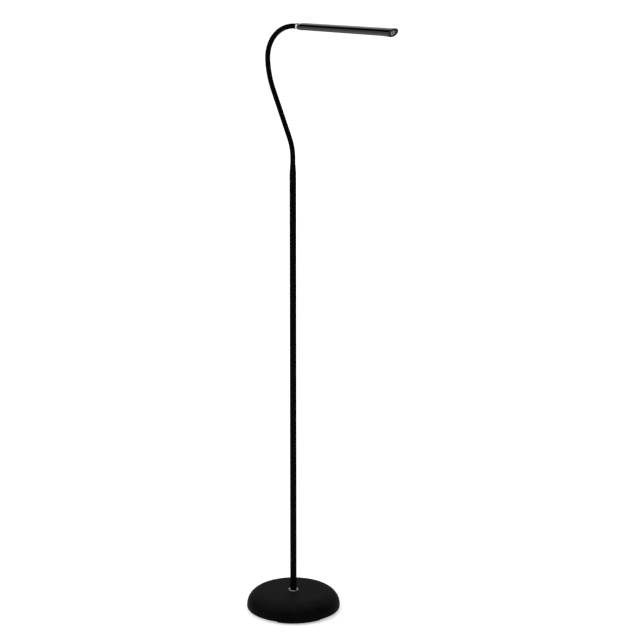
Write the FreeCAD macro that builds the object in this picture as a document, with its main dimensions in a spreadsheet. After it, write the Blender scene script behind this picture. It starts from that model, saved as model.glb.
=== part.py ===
"""Gooseneck reading floor lamp, in millimetres, +Z up.

The origin is the centre of the base on the floor. The neck and the head lie in the XZ plane, and the
head points along +X. Every size is a cell of the sheet Sizes.
"""
import FreeCAD, Part

import math
import os
import re

import Sketcher

V = FreeCAD.Vector
doc = FreeCAD.newDocument("reading_lamp")

SIZES = [
    # the weighted base
    ("base_radius", 100),
    ("base_height", 40.8),
    ("shoulder_radius", 31),
    ("crown_rise", 0.6),
    ("hub_radius", 13),
    ("rim_height", 5),
    ("rim_rounding", 1.2),
    ("cover_wall", 1.5),
    ("plate_recess", 0.6),
    ("plate_thick", 2),
    ("plate_gap", 0.3),
    ("weight_thick", 16),
    ("weight_chamfer", 2),
    ("channel_width", 8),
    ("channel_depth", 8),
    ("well_length", 16),
    ("pad_inset", 8),
    ("pad_width", 12),
    ("pad_angle", 60),
    ("pad_edge", 1),
    ("pad_count", 4),
    ("screw_count", 3),
    ("screw_circle", 60),
    ("screw_radius", 2),
    ("screw_head_radius", 3.6),
    ("screw_head_height", 1.6),
    ("screw_length", 10),
    # the threaded stud that clamps the base together and carries the pole
    ("stud_radius", 5),
    ("stud_bore", 3.2),
    ("stud_below_nut", 0.4),
    ("stud_reach", 25),
    ("stud_slot_width", 4.6),
    ("nut_across_corners", 19.6),
    ("nut_height", 3),
    ("washer_radius", 11),
    ("washer_thick", 1.2),
    ("spacer_radius", 8),
    ("ring_radius", 11),
    ("ring_height", 2.6),
    ("ring_edge", 0.9),
    # clearances
    ("fit_gap", 0.05),
    ("lead_gap", 0.1),
    ("core_gap", 0.1),
    ("ball_gap", 0.3),
    ("seat_gap", 0.15),
    # the cable inlet and the lead inside
    ("bush_height", 13.4),
    ("bush_bore", 2.3),
    ("bush_neck_radius", 3.7),
    ("bush_flange_radius", 5.2),
    ("bush_flange", 2.2),
    ("bush_inner_reach", 2.2),
    ("block_length", 12),
    ("block_width", 14),
    ("block_height", 9),
    ("block_from_wall", 4.4),
    ("block_gap", 2.1),
    ("lead_radius", 2),
    ("lead_bend", 12),
    # the pole
    ("pole_radius", 7),
    ("pole_wall", 1),
    ("pole_top", 968),
    ("section_count", 3),
    ("seam_chamfer", 0.35),
    ("joiner_length", 30),
    ("joiner_bore", 3.6),
    ("foot_bush_length", 30),
    ("ferrule_length", 20),
    ("ferrule_lip", 0.3),
    ("ferrule_spigot", 14),
    # the flexible neck: straight runs and bends from the ferrule to the head
    ("neck_radius", 5.4),
    ("sleeve_wall", 1),
    ("head_lead_radius", 1.4),
    ("first_run", 13.3),
    ("first_bend", 107),
    ("first_angle", 23.4),
    ("second_run", 104.4),
    ("second_bend", 176.3),
    ("second_angle", 20.8),
    ("third_bend", 76.4),
    ("third_angle", 88.1),
    ("last_run", 6.6),
    ("station_first", 20),
    ("station_step", 50),
    ("station_count", 7),
    ("ball_neck", 7),
    ("flare_length", 5),
    ("flare_radius", 6.2),
    # the head, measured along its own axis from the end of the neck
    ("collar_start", -1),
    ("collar_length", 4.5),
    ("collar_radius", 6.5),
    ("collar_edge", 0.5),
    ("rear_cap_length", 12.5),
    ("dome_power", 2.5),
    ("dome_share", 0.075),
    ("core_in_cap", 5),
    ("body_length", 206),
    ("rear_half_width", 15.5),
    ("rear_half_height", 7.05),
    ("front_half_width", 17),
    ("front_half_height", 7.9),
    ("shell_wall", 1.5),
    ("spigot_length", 4),
    ("slot_half_width", 11),
    ("slot_inset", 6),
    ("slot_top", 3),
    ("diffuser_top", 4.6),
    ("heat_plate_low", 0.6),
    ("heat_plate_thick", 1.4),
    ("heat_plate_inset", 5),
    ("board_width", 12),
    ("board_thick", 1),
    ("chip_count", 26),
    ("chip_length", 3),
    ("chip_width", 2.8),
    ("chip_thick", 0.8),
    ("board_screw_radius", 1),
    ("board_screw_head", 1.9),
    ("board_screw_head_height", 1.1),
    ("board_screw_inset", 3.5),
    # the front cap with its touch sensor
    ("front_cap_length", 18.7),
    ("cap_flare_width", 1),
    ("cap_flare_height", 0.9),
    ("cap_drop", 0.6),
    ("cap_overrun", 7),
    ("face_angle", 12.5),
    ("face_rim", 2),
    ("pad_recess", 0.5),
    ("touch_pad_thick", 1.4),
    ("cavity_half_width", 11),
    ("cavity_half_height", 4.6),
    ("cavity_depth", 9),
    ("touch_board_thick", 1.2),
    ("contact_width", 3),
    ("contact_thick", 0.4),
    ("touch_ring_radius", 4.7),
    ("touch_ring_width", 1.1),
    ("touch_ring_rise", 0.35),
]

sheet = doc.addObject("Spreadsheet::Sheet", "Sizes")
for row, (alias, value) in enumerate(SIZES, 1):
    sheet.set("A%d" % row, alias)
    sheet.set("B%d" % row, str(value))
    sheet.setAlias("B%d" % row, alias)
doc.recompute()

PARTS = {}
OVERRUN = 1.0  # how far a cutting tool runs past the faces it cuts


def bound(expression):
    """The expression with every name in it read from the sheet."""
    return re.sub(r"[a-z_]+", lambda found: "Sizes." + found.group(0), str(expression))


def size(expression):
    """The present value of an expression in the sheet's names."""
    value = sheet.evalExpression(bound(expression))
    return float(getattr(value, "Value", value))


def keep(label, piece):
    """Files a finished sub-part under its own name."""
    piece.Label = label
    PARTS[label] = piece
    return piece


def tie(piece, **values):
    """Binds properties of a piece to expressions."""
    for name, expression in values.items():
        piece.setExpression(name, bound(expression))
    return piece


def lift(piece, x=None, y=None, z=None):
    """Binds the place of a piece to expressions."""
    for axis, expression in (("x", x), ("y", y), ("z", z)):
        if expression is not None:
            piece.setExpression("Placement.Base." + axis, bound(expression))
    return piece


def arc_between(a, b, radius, side):
    """The short arc from a to b whose centre lies on that side: 1 is left of the way, -1 is right."""
    middle = (a + b) * 0.5
    along = b - a
    off = math.sqrt(max(radius ** 2 - (along.Length / 2) ** 2, 0.0))
    left = V(-along.y, along.x, 0).normalize()
    centre = middle + left * (off * side)
    circle = Part.Circle(centre, V(0, 0, 1), radius)
    if side > 0:
        return Part.ArcOfCircle(circle, circle.parameter(a), circle.parameter(b))
    return Part.ArcOfCircle(circle, circle.parameter(b), circle.parameter(a))


def turned(name, outline, sweep=None):
    """A body turned about Z. Its outline is a list of (radius, height) expressions in order, and an
    entry (radius, height, bend, side) is reached by an arc of that bend."""
    body = doc.addObject("PartDesign::Body", name)
    sketch = body.newObject("Sketcher::SketchObject", name + "_outline")
    plane = [item for item in body.Origin.OriginFeatures if item.Role == "XZ_Plane"][0]
    sketch.AttachmentSupport = (plane, [""])
    sketch.MapMode = "FlatFace"
    corners = [V(size(entry[0]), size(entry[1]), 0) for entry in outline]
    starts = []
    ends = []
    for index, entry in enumerate(outline):
        following = outline[(index + 1) % len(outline)]
        a = corners[index]
        b = corners[(index + 1) % len(outline)]
        if len(following) == 2:
            sketch.addGeometry(Part.LineSegment(a, b), False)
            starts.append(1)
            ends.append(2)
            continue
        bend, side = following[2:]
        sketch.addGeometry(arc_between(a, b, size(bend), side), False)
        starts.append(1 if side > 0 else 2)
        ends.append(2 if side > 0 else 1)
        radius = sketch.addConstraint(Sketcher.Constraint("Radius", index, size(bend)))
        sketch.setExpression("Constraints[%d]" % radius, bound(bend))
    for index, entry in enumerate(outline):
        before = (index - 1) % len(outline)
        sketch.addConstraint(
            Sketcher.Constraint("Coincident", before, ends[before], index, starts[index])
        )
        for kind, axis, expression in (("DistanceX", -2, entry[0]), ("DistanceY", -1, entry[1])):
            value = size(expression)
            if abs(value) < 1e-9:
                sketch.addConstraint(
                    Sketcher.Constraint("PointOnObject", index, starts[index], axis)
                )
                continue
            held = sketch.addConstraint(
                Sketcher.Constraint(kind, -1, 1, index, starts[index], value)
            )
            sketch.setExpression("Constraints[%d]" % held, bound(expression))
    turn = body.newObject("PartDesign::Revolution", name + "_turn")
    turn.Profile = sketch
    turn.ReferenceAxis = (sketch, ["V_Axis"])
    turn.Angle = 360
    if sweep:
        turn.Midplane = True
        turn.setExpression("Angle", bound(sweep))
    body.Tip = turn
    return body


def tube(name, inner, outer, low, high, chamfer=None):
    """A plain tube about Z, its outer edges chamfered where a chamfer is given."""
    if chamfer is None:
        return turned(name, [(inner, low), (outer, low), (outer, high), (inner, high)])
    return turned(
        name,
        [
            (inner, low),
            ("%s - %s" % (outer, chamfer), low),
            (outer, "%s + %s" % (low, chamfer)),
            (outer, "%s - %s" % (high, chamfer)),
            ("%s - %s" % (outer, chamfer), high),
            (inner, high),
        ],
    )


def rod(name, radius, height, x=None, y=None, z=None):
    """A cylinder about its own Z."""
    piece = tie(doc.addObject("Part::Cylinder", name), Radius=radius, Height=height)
    return lift(piece, x, y, z)


def block(name, length, width, height, x=None, y=None, z=None):
    """A box, its place the corner with the lowest coordinates."""
    piece = tie(doc.addObject("Part::Box", name), Length=length, Width=width, Height=height)
    return lift(piece, x, y, z)


def joined(name, kind, pieces):
    """A Part::MultiFuse or Part::MultiCommon of several pieces."""
    piece = doc.addObject(kind, name)
    piece.Shapes = pieces
    return piece


def cut(name, base, *tools):
    """The base with the tools taken away."""
    piece = doc.addObject("Part::Cut", name)
    piece.Base = base
    if len(tools) == 1:
        piece.Tool = tools[0]
    else:
        piece.Tool = joined(name + "_tools", "Part::MultiFuse", list(tools))
    return piece


def oval(name, half_width, half_height, z, drop=None):
    """An ellipse across the head, its long axis from side to side."""
    piece = doc.addObject("Part::Ellipse", name)
    tie(piece, MajorRadius=half_width, MinorRadius=half_height)
    return lift(piece, y=drop, z=z)


def loft(name, sections, ruled=True):
    """A solid through sections in order."""
    piece = doc.addObject("Part::Loft", name)
    piece.Sections = sections
    piece.Solid = True
    piece.Ruled = ruled
    return piece


def shaped(name, shape):
    """A feature for a form that no primitive or sketched feature gives."""
    piece = doc.addObject("Part::Feature", name)
    piece.Shape = shape
    return piece


# heights in the base, from the floor up
PLATE_LOW = "rim_height + plate_recess"
PLATE_TOP = PLATE_LOW + " + plate_thick"
WEIGHT_TOP = PLATE_TOP + " + weight_thick"
COVER_TOP = "base_height + crown_rise"
COVER_UNDER = COVER_TOP + " - cover_wall"
SHOULDER_LEVEL = "base_height - shoulder_radius"
STUD_CLEAR = "stud_radius + fit_gap"
BLOCK_FACE = "(base_radius - cover_wall - block_from_wall)"
WEIGHT_EDGE = "(base_radius - cover_wall - block_from_wall - block_length - block_gap)"
PAD_EDGE = "(base_radius - pad_inset)"


def base_cover():
    """The domed cover, a spun shell with a soft shoulder and a nearly flat crown."""
    inner = "base_radius - cover_wall"
    flat = "base_radius - shoulder_radius"
    shell = turned(
        "base_cover_shell",
        [
            (inner, "rim_height"),
            ("base_radius - rim_rounding", "rim_height"),
            ("base_radius", "rim_height + rim_rounding", "rim_rounding", 1),
            ("base_radius", SHOULDER_LEVEL),
            (flat, "base_height", "shoulder_radius", 1),
            ("hub_radius", COVER_TOP),
            (STUD_CLEAR, COVER_TOP),
            (STUD_CLEAR, COVER_UNDER),
            ("hub_radius", COVER_UNDER),
            (flat, "base_height - cover_wall"),
            (inner, SHOULDER_LEVEL, "shoulder_radius - cover_wall", -1),
        ],
    )
    hole = rod(
        "base_cover_inlet",
        "bush_neck_radius + fit_gap",
        "base_radius",
        x="-base_radius * 3 / 2",
        z="bush_height",
    )
    hole.Placement.Rotation = FreeCAD.Rotation(V(0, 1, 0), 90)
    keep("base_cover", cut("base_cover", shell, hole))


def base_plate():
    """The steel plate that closes the base from below."""
    disc = tube(
        "base_plate_disc",
        STUD_CLEAR,
        "base_radius - cover_wall - plate_gap",
        PLATE_LOW,
        PLATE_TOP,
    )
    holes = ring_of_rods("base_plate_hole", "screw_radius + fit_gap", "weight_thick", "0")
    keep("base_plate", cut("base_plate", disc, *holes))


def ring_of_rods(name, radius, height, z):
    """Cylinders on the circle of the plate screws."""
    rods = []
    count = int(size("screw_count"))
    for index in range(count):
        angle = 2 * math.pi * index / count
        x = "screw_circle * %.9f" % math.cos(angle)
        y = "screw_circle * %.9f" % math.sin(angle)
        rods.append(rod("%s_%d" % (name, index), radius, height, x, y, z))
    return rods


def base_weight():
    """The cast iron disc, with a channel and a well below for the lead."""
    disc = turned(
        "base_weight_disc",
        [
            (STUD_CLEAR, PLATE_TOP),
            (WEIGHT_EDGE, PLATE_TOP),
            (WEIGHT_EDGE, WEIGHT_TOP + " - weight_chamfer"),
            (WEIGHT_EDGE + " - weight_chamfer", WEIGHT_TOP),
            (STUD_CLEAR, WEIGHT_TOP),
        ],
    )
    channel = block(
        "base_weight_channel",
        WEIGHT_EDGE + " + %g" % OVERRUN,
        "channel_width",
        "channel_depth + %g" % OVERRUN,
        x="-%s - %g" % (WEIGHT_EDGE, OVERRUN),
        y="-channel_width / 2",
        z=PLATE_TOP + " - %g" % OVERRUN,
    )
    well = block(
        "base_weight_well",
        "well_length",
        "channel_width",
        "weight_thick + %g" % (2 * OVERRUN),
        x="-well_length",
        y="-channel_width / 2",
        z=PLATE_TOP + " - %g" % OVERRUN,
    )
    holes = ring_of_rods(
        "base_weight_hole",
        "screw_radius + fit_gap",
        "screw_length - plate_thick + %g" % (2 * OVERRUN),
        PLATE_TOP + " - %g" % OVERRUN,
    )
    keep("base_weight", cut("base_weight", disc, channel, well, *holes))


def plate_screws():
    """Screws that hold the plate to the weight, heads below."""
    screws = []
    shanks = ring_of_rods("plate_screw_shank", "screw_radius", "screw_length", PLATE_LOW)
    heads = ring_of_rods(
        "plate_screw_head",
        "screw_head_radius",
        "screw_head_height",
        PLATE_LOW + " - screw_head_height",
    )
    for index, (shank, head) in enumerate(zip(shanks, heads)):
        screws.append(joined("plate_screw_%d" % index, "Part::MultiFuse", [shank, head]))
    group = doc.addObject("Part::Compound", "plate_screws")
    group.Links = screws
    keep("plate_screws", group)


def foot_pads():
    """Four rubber pads, each a bowed strip under the rim of the plate."""
    inner = PAD_EDGE + " - pad_width"
    pad = turned(
        "foot_pad",
        [
            (inner, PLATE_LOW),
            (inner, "pad_edge"),
            (inner + " + pad_edge", "0", "pad_edge", 1),
            (PAD_EDGE + " - pad_edge", "0"),
            (PAD_EDGE, "pad_edge", "pad_edge", 1),
            (PAD_EDGE, PLATE_LOW),
        ],
        sweep="pad_angle",
    )
    doc.recompute()
    count = int(size("pad_count"))
    pads = []
    for index in range(count):
        turn = 360.0 / count * (index + 0.5)
        copy = pad.Shape.copy()
        copy.rotate(V(0, 0, 0), V(0, 0, 1), turn)
        pads.append(copy)
    keep("foot_pads", shaped("foot_pads", Part.makeCompound(pads)))


def cable_bush():
    """The rubber bush of the cable inlet, with a lip on each side of the cover's wall."""
    inside = "bush_inner_reach"
    inside_lip = "bush_inner_reach + bush_flange"
    outside = "cover_wall / 2 + fit_gap"
    outside_lip = outside + " + bush_flange"
    body = turned(
        "cable_bush",
        [
            ("bush_bore", "-(%s)" % inside_lip),
            ("bush_flange_radius - pad_edge", "-(%s)" % inside_lip),
            ("bush_flange_radius", "-(%s) + pad_edge" % inside_lip),
            ("bush_flange_radius", "-" + inside),
            ("bush_neck_radius", "-" + inside),
            ("bush_neck_radius", outside),
            ("bush_flange_radius", outside),
            ("bush_flange_radius", outside_lip + " - pad_edge"),
            ("bush_flange_radius - pad_edge", outside_lip),
            ("bush_bore", outside_lip),
        ],
    )
    body.Placement = FreeCAD.Placement(V(), FreeCAD.Rotation(V(0, 1, 0), -90))
    lift(body, x="-(base_radius - cover_wall / 2)", z="bush_height")
    keep("cable_bush", body)


def terminal_block():
    """The block that grips the inlet cable and joins it to the lead inside."""
    body = block(
        "terminal_block_body",
        "block_length",
        "block_width",
        "block_height",
        x="-" + BLOCK_FACE,
        y="-block_width / 2",
        z=PLATE_TOP,
    )
    groove = block(
        "terminal_block_groove",
        "block_length + %g" % (2 * OVERRUN),
        "block_width / 6",
        "block_height / 3",
        x="-%s - %g" % (BLOCK_FACE, OVERRUN),
        y="-block_width / 12",
        z=PLATE_TOP + " + block_height * 2 / 3 + fit_gap",
    )
    keep("terminal_block", cut("terminal_block", body, groove))


NUT_TOP = PLATE_LOW + " - washer_thick"
NUT_LOW = NUT_TOP + " - nut_height"


def stud_and_nut():
    """The hollow stud with its washer, nut and spacer."""
    stud = tube(
        "base_stud_tube",
        "stud_bore",
        "stud_radius",
        NUT_LOW + " - stud_below_nut",
        COVER_TOP + " + stud_reach",
        "ring_edge",
    )
    slot = block(
        "base_stud_slot",
        "stud_radius + %g" % OVERRUN,
        "stud_slot_width",
        "weight_thick + stud_slot_width",
        x="-stud_radius - %g" % OVERRUN,
        y="-stud_slot_width / 2",
        z=PLATE_TOP,
    )
    keep("base_stud", cut("base_stud", stud, slot))
    keep("stud_washer", tube("stud_washer", STUD_CLEAR, "washer_radius", NUT_TOP, PLATE_LOW))
    hexagon = doc.addObject("Part::Prism", "stud_nut_hexagon")
    hexagon.Polygon = 6
    tie(hexagon, Circumradius="nut_across_corners / 2", Height="nut_height")
    lift(hexagon, z=NUT_LOW)
    thread = rod("stud_nut_thread", STUD_CLEAR, "nut_height * 3", z=NUT_LOW + " - nut_height")
    keep("stud_nut", cut("stud_nut", hexagon, thread))
    spacer = tube("stud_spacer", STUD_CLEAR, "spacer_radius", WEIGHT_TOP, COVER_UNDER)
    keep("stud_spacer", spacer)


def base_ring():
    """The polished ring round the foot of the pole, its upper edge rounded over."""
    inner = "pole_radius + fit_gap"
    rounding = "ring_height - ring_edge"
    keep(
        "base_ring",
        turned(
            "base_ring",
            [
                (inner, COVER_TOP),
                ("ring_radius", COVER_TOP),
                ("ring_radius", COVER_TOP + " + ring_edge"),
                ("ring_radius - (%s)" % rounding, COVER_TOP + " + ring_height", rounding, 1),
                (inner, COVER_TOP + " + ring_height"),
            ],
        ),
    )


def section_height(index):
    """The height of a seam of the pole; 0 is the foot."""
    return "%s + (pole_top - (%s)) / section_count * %d" % (COVER_TOP, COVER_TOP, index)


def pole():
    """Three steel tubes end to end, screwed together on joiners, with a bush in the foot."""
    bore = "pole_radius - pole_wall"
    for index, label in enumerate(("pole_lower", "pole_middle", "pole_upper")):
        low = section_height(index)
        high = section_height(index + 1)
        keep(label, tube(label, bore, "pole_radius", low, high, "seam_chamfer"))
    for index, label in ((1, "pole_joiner_lower"), (2, "pole_joiner_upper")):
        seam = section_height(index)
        low = seam + " - joiner_length / 2"
        high = seam + " + joiner_length / 2"
        keep(label, tube(label, "joiner_bore", bore + " - fit_gap", low, high, "seam_chamfer"))
    foot_top = COVER_TOP + " + foot_bush_length"
    bush = tube("pole_foot_bush", STUD_CLEAR, bore + " - fit_gap", COVER_TOP, foot_top)
    keep("pole_foot_bush", bush)


def neck_ferrule():
    """The tapered ferrule that plugs into the pole and holds the root of the neck."""
    bore = "neck_radius - sleeve_wall"
    spigot = "pole_radius - pole_wall - fit_gap"
    keep(
        "neck_ferrule",
        turned(
            "neck_ferrule",
            [
                (bore, "pole_top - ferrule_spigot"),
                (spigot, "pole_top - ferrule_spigot"),
                (spigot, "pole_top"),
                ("pole_radius", "pole_top"),
                ("neck_radius + ferrule_lip", "pole_top + ferrule_length"),
                (bore, "pole_top + ferrule_length"),
            ],
        ),
    )


# The neck's centre line: each stretch is its length and its turn in radians, forwards positive.
def neck_stretches():
    """Straight runs and bends of the neck in order."""
    stretches = []
    for length, bend, turn in (
        ("first_run", None, None),
        (None, "first_bend", "-first_angle"),
        ("second_run", None, None),
        (None, "second_bend", "second_angle"),
        (None, "third_bend", "third_angle"),
        ("last_run", None, None),
    ):
        if bend is None:
            stretches.append((size(length), 0.0))
        else:
            angle = math.radians(size(turn))
            stretches.append((size(bend) * abs(angle), angle))
    return stretches


STRETCHES = neck_stretches()
NECK_LENGTH = sum(length for length, turn in STRETCHES)
NECK_FOOT = V(0, 0, size("pole_top + ferrule_length"))


def heading(lean):
    """The direction of a line that leans forwards from the vertical by that angle."""
    return V(math.sin(lean), 0, math.cos(lean))


def along(place):
    """The point of the centre line at a distance from its foot, and its lean from the vertical.
    Before the foot and past the end the line runs straight on."""
    point = V(NECK_FOOT)
    lean = 0.0
    left = place
    if left < 0:
        return point + heading(lean) * left, lean
    for length, turn in STRETCHES:
        part = min(left, length)
        if abs(turn) < 1e-9:
            point = point + heading(lean) * part
        else:
            swing = turn * part / length
            chord = 2 * length / turn * math.sin(swing / 2)
            point = point + heading(lean + swing / 2) * chord
            lean += swing
        left -= part
        if left <= 1e-9:
            return point, lean
    return point + heading(lean) * left, lean


SHORTEST_RUN = 0.05  # no edge of the line is shorter


def centre_line(low, high):
    """The centre line between two distances as a wire of straight runs and arcs."""
    marks = [0.0]
    for length, turn in STRETCHES:
        marks.append(marks[-1] + length)
    inside = [mark for mark in marks if low + SHORTEST_RUN < mark < high - SHORTEST_RUN]
    stops = [low] + inside + [high]
    edges = []
    for a, b in zip(stops, stops[1:]):
        start, lean_start = along(a)
        middle, lean_middle = along((a + b) / 2)
        end, lean_end = along(b)
        if abs(lean_end - lean_start) < 1e-6:
            edges.append(Part.LineSegment(start, end).toShape())
        else:
            edges.append(Part.Arc(start, middle, end).toShape())
    return Part.Wire(edges)


VOLUME_SLACK = 0.01  # share by which a bent bar's volume may be off


def hose(radius, low, high):
    """A round bar along the neck's centre line."""
    start, lean = along(low)
    ring = Part.Wire([Part.makeCircle(radius, start, heading(lean))])
    bar = centre_line(low, high).makePipeShell([ring], True, False)
    ideal = math.pi * radius ** 2 * (high - low)
    if abs(bar.Volume - ideal) > VOLUME_SLACK * ideal:
        raise RuntimeError("a length of the neck has the wrong volume")
    return bar


def neck():
    """The flexible neck as links, each a rubber sleeve over a wound steel core that holds the leads.
    A sleeve ends in a ball, and the next one starts in a cup round it with the same centre."""
    outer = size("neck_radius")
    bore = size("neck_radius - sleeve_wall")
    core = size("neck_radius - sleeve_wall - core_gap")
    cup = size("neck_radius + ball_gap")
    count = int(size("station_count"))
    stations = [size("station_first") + size("station_step") * index for index in range(count)]
    for index in range(count + 1):
        first = index == 0
        last = index == count
        low = 0.0 if first else stations[index - 1]
        high = NECK_LENGTH + size("collar_start") if last else stations[index]
        sleeve = hose(outer, low, high)
        if last:
            base, lean = along(high - size("flare_length"))
            flare = Part.makeCone(
                outer, size("flare_radius"), size("flare_length"), base, heading(lean)
            )
            sleeve = sleeve.fuse(flare).cut(hose(bore, low, high + OVERRUN))
            core_high = NECK_LENGTH + size("collar_start + collar_length + core_in_cap")
        else:
            end, lean = along(high)
            sleeve = sleeve.fuse(Part.makeSphere(outer, end, heading(lean)))
            bore_low = low - OVERRUN if first else low
            sleeve = sleeve.cut(hose(bore, bore_low, high - size("ball_neck")))
            core_high = high - size("ball_neck + core_gap")
        if first:
            core_low = -size("ferrule_length + ferrule_spigot") + OVERRUN
        else:
            start, lean = along(low)
            sleeve = sleeve.cut(Part.makeSphere(cup, start, heading(lean)))
            core_low = low + cup + size("ball_gap")
        label = "neck_sleeve_%d" % index
        keep(label, shaped(label, sleeve.removeSplitter()))
        label = "neck_core_%d" % index
        keep(label, shaped(label, hose(core, core_low, core_high)))
    for index, station in enumerate(stations):
        point, lean = along(station)
        place = (index + 1, point.x, point.y, point.z, math.degrees(lean))
        print("station %d at %.3f %.3f %.3f lean %.3f" % place)
    print("neck length %.2f" % NECK_LENGTH)


def supply_lead():
    """The lead from the terminal block through the channel, the stud and the pole to the neck."""
    radius = size("lead_radius")
    bend = size("lead_bend")
    level = size(PLATE_TOP) + radius + size("lead_gap")
    start = V(-size(BLOCK_FACE + " - block_length - lead_gap"), 0, level)
    corner = V(-bend, 0, level)
    turn_end = V(0, 0, level + bend)
    centre = V(-bend, 0, level + bend)
    middle = centre + V(math.sin(math.pi / 4), 0, -math.cos(math.pi / 4)) * bend
    top = V(0, 0, size("pole_top - ferrule_spigot") + OVERRUN - size("lead_gap"))
    path = Part.Wire(
        [
            Part.LineSegment(start, corner).toShape(),
            Part.Arc(corner, middle, turn_end).toShape(),
            Part.LineSegment(turn_end, top).toShape(),
        ]
    )
    ring = Part.Wire([Part.makeCircle(radius, start, V(1, 0, 0))])
    keep("supply_lead", shaped("supply_lead", path.makePipeShell([ring], True, False)))
    print("supply lead length %.1f, bend %.1f" % (path.Length, bend))


# The head's own axes: x to its left side, y up, z forwards from the end of the neck.
END, END_LEAN = along(NECK_LENGTH)
FORWARD = heading(END_LEAN)
UPWARD = V(-FORWARD.z, 0, FORWARD.x)
HEAD = FreeCAD.Placement(END, FreeCAD.Rotation(V(0, 1, 0), UPWARD, FORWARD, "ZXY"))

CAP_START = "collar_start + collar_length"
BODY_START = CAP_START + " + rear_cap_length"
BODY_END = BODY_START + " + body_length"
FACE_PLACE = BODY_END + " + front_cap_length"


def on_head(label, piece, place=None):
    """Files a piece that was made in the head's own axes."""
    piece.Placement = HEAD if place is None else HEAD.multiply(place)
    return keep(label, piece)


def head_loft(name, shrink, low, high):
    """The head's oval body between two distances, drawn in all round by the shrink."""
    sections = []
    for side, place in (("a", low), ("b", high)):
        share = "((%s) - (%s)) / body_length" % (place, BODY_START)
        width_gain = "(front_half_width - rear_half_width) * " + share
        height_gain = "(front_half_height - rear_half_height) * " + share
        half_width = "rear_half_width + %s - (%s)" % (width_gain, shrink)
        half_height = "rear_half_height + %s - (%s)" % (height_gain, shrink)
        sections.append(oval(name + "_oval_" + side, half_width, half_height, place))
    return loft(name, sections)


SLOT_LOW = BODY_START + " + slot_inset"
SLOT_LENGTH = "body_length - 2 * slot_inset"


def head_shell():
    """The long oval shell, open at both ends, with the slot for the diffuser below."""
    outer = head_loft("head_shell_outer", "0", BODY_START, BODY_END)
    inner = head_loft(
        "head_shell_inner", "shell_wall", BODY_START + " - %g" % OVERRUN, BODY_END + " + %g" % OVERRUN
    )
    slot = block(
        "head_shell_slot",
        "slot_half_width * 2",
        "front_half_height",
        SLOT_LENGTH,
        x="-slot_half_width",
        y="-slot_top - front_half_height",
        z=SLOT_LOW,
    )
    on_head("head_shell", cut("head_shell", outer, inner, slot))


def diffuser():
    """The opal strip that fills the slot, flush with the shell."""
    whole = head_loft("diffuser_whole", "0", BODY_START, BODY_END)
    strip = block(
        "diffuser_strip",
        "(slot_half_width - seat_gap) * 2",
        "front_half_height",
        SLOT_LENGTH + " - 2 * seat_gap",
        x="-(slot_half_width - seat_gap)",
        y="-diffuser_top - front_half_height",
        z=SLOT_LOW + " + seat_gap",
    )
    on_head("diffuser", joined("diffuser", "Part::MultiCommon", [whole, strip]))


BOARD_LOW = BODY_START + " + heat_plate_inset"
BOARD_LENGTH = "body_length - 2 * heat_plate_inset"


def heat_plate():
    """The aluminium strip that spans the shell and carries the light board."""
    inside = head_loft("heat_plate_space", "shell_wall + seat_gap", BODY_START, BODY_END)
    strip = block(
        "heat_plate_strip",
        "front_half_width * 2",
        "heat_plate_thick",
        BOARD_LENGTH,
        x="-front_half_width",
        y="heat_plate_low",
        z=BOARD_LOW,
    )
    on_head("heat_plate", joined("heat_plate", "Part::MultiCommon", [inside, strip]))


def board_screw_places():
    """Distances along the head of the two screws of the light board."""
    low = size(BOARD_LOW + " + board_screw_inset")
    return [low, low + size(BOARD_LENGTH + " - 2 * board_screw_inset")]


def light_board():
    """The long board below the heat plate, its row of light chips and its two screws."""
    board = block(
        "led_board_strip",
        "board_width",
        "board_thick",
        BOARD_LENGTH,
        x="-board_width / 2",
        y="heat_plate_low - board_thick",
        z=BOARD_LOW,
    )
    holes = []
    screws = []
    under = size("heat_plate_low - board_thick")
    for index, place in enumerate(board_screw_places()):
        hole = rod("led_board_hole_%d" % index, "board_screw_radius + fit_gap", "board_thick * 3")
        spot = V(0, under + size("board_thick") * 2, place)
        hole.Placement = FreeCAD.Placement(spot, FreeCAD.Rotation(V(1, 0, 0), 90))
        holes.append(hole)
        head = Part.makeCylinder(
            size("board_screw_head"),
            size("board_screw_head_height"),
            V(0, under - size("board_screw_head_height"), place),
            V(0, 1, 0),
        )
        shank_length = size("board_thick - fit_gap")
        shank = Part.makeCylinder(
            size("board_screw_radius"), shank_length, V(0, under, place), V(0, 1, 0)
        )
        screws.append(head.fuse(shank))
    on_head("led_board", cut("led_board", board, *holes))
    on_head("board_screws", shaped("board_screws", Part.makeCompound(screws)))
    chips = []
    count = int(size("chip_count"))
    first, last = board_screw_places()
    pitch = (last - first) / (count + 1)
    for index in range(count):
        place = first + pitch * (index + 1) - size("chip_length") / 2
        corner = V(-size("chip_width") / 2, under - size("chip_thick"), place)
        chips.append(
            Part.makeBox(size("chip_width"), size("chip_thick"), size("chip_length"), corner)
        )
    on_head("led_chips", shaped("led_chips", Part.makeCompound(chips)))


def neck_collar():
    """The polished collar between the neck and the head."""
    bore = "neck_radius - sleeve_wall"
    body = tube("neck_collar", bore, "collar_radius", "collar_start", CAP_START, "collar_edge")
    on_head("neck_collar", body)


def head_lead():
    """The lead from the core of the neck to the light board."""
    low = CAP_START + " + core_in_cap + core_gap"
    high = BOARD_LOW + " - core_gap"
    lead = turned(
        "head_lead", [("0", low), ("head_lead_radius", low), ("head_lead_radius", high), ("0", high)]
    )
    on_head("head_lead", lead)


DOME_STEPS = (0.0, 0.12, 0.32, 0.65, 1.0)  # shares of the rear cap's length


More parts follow.
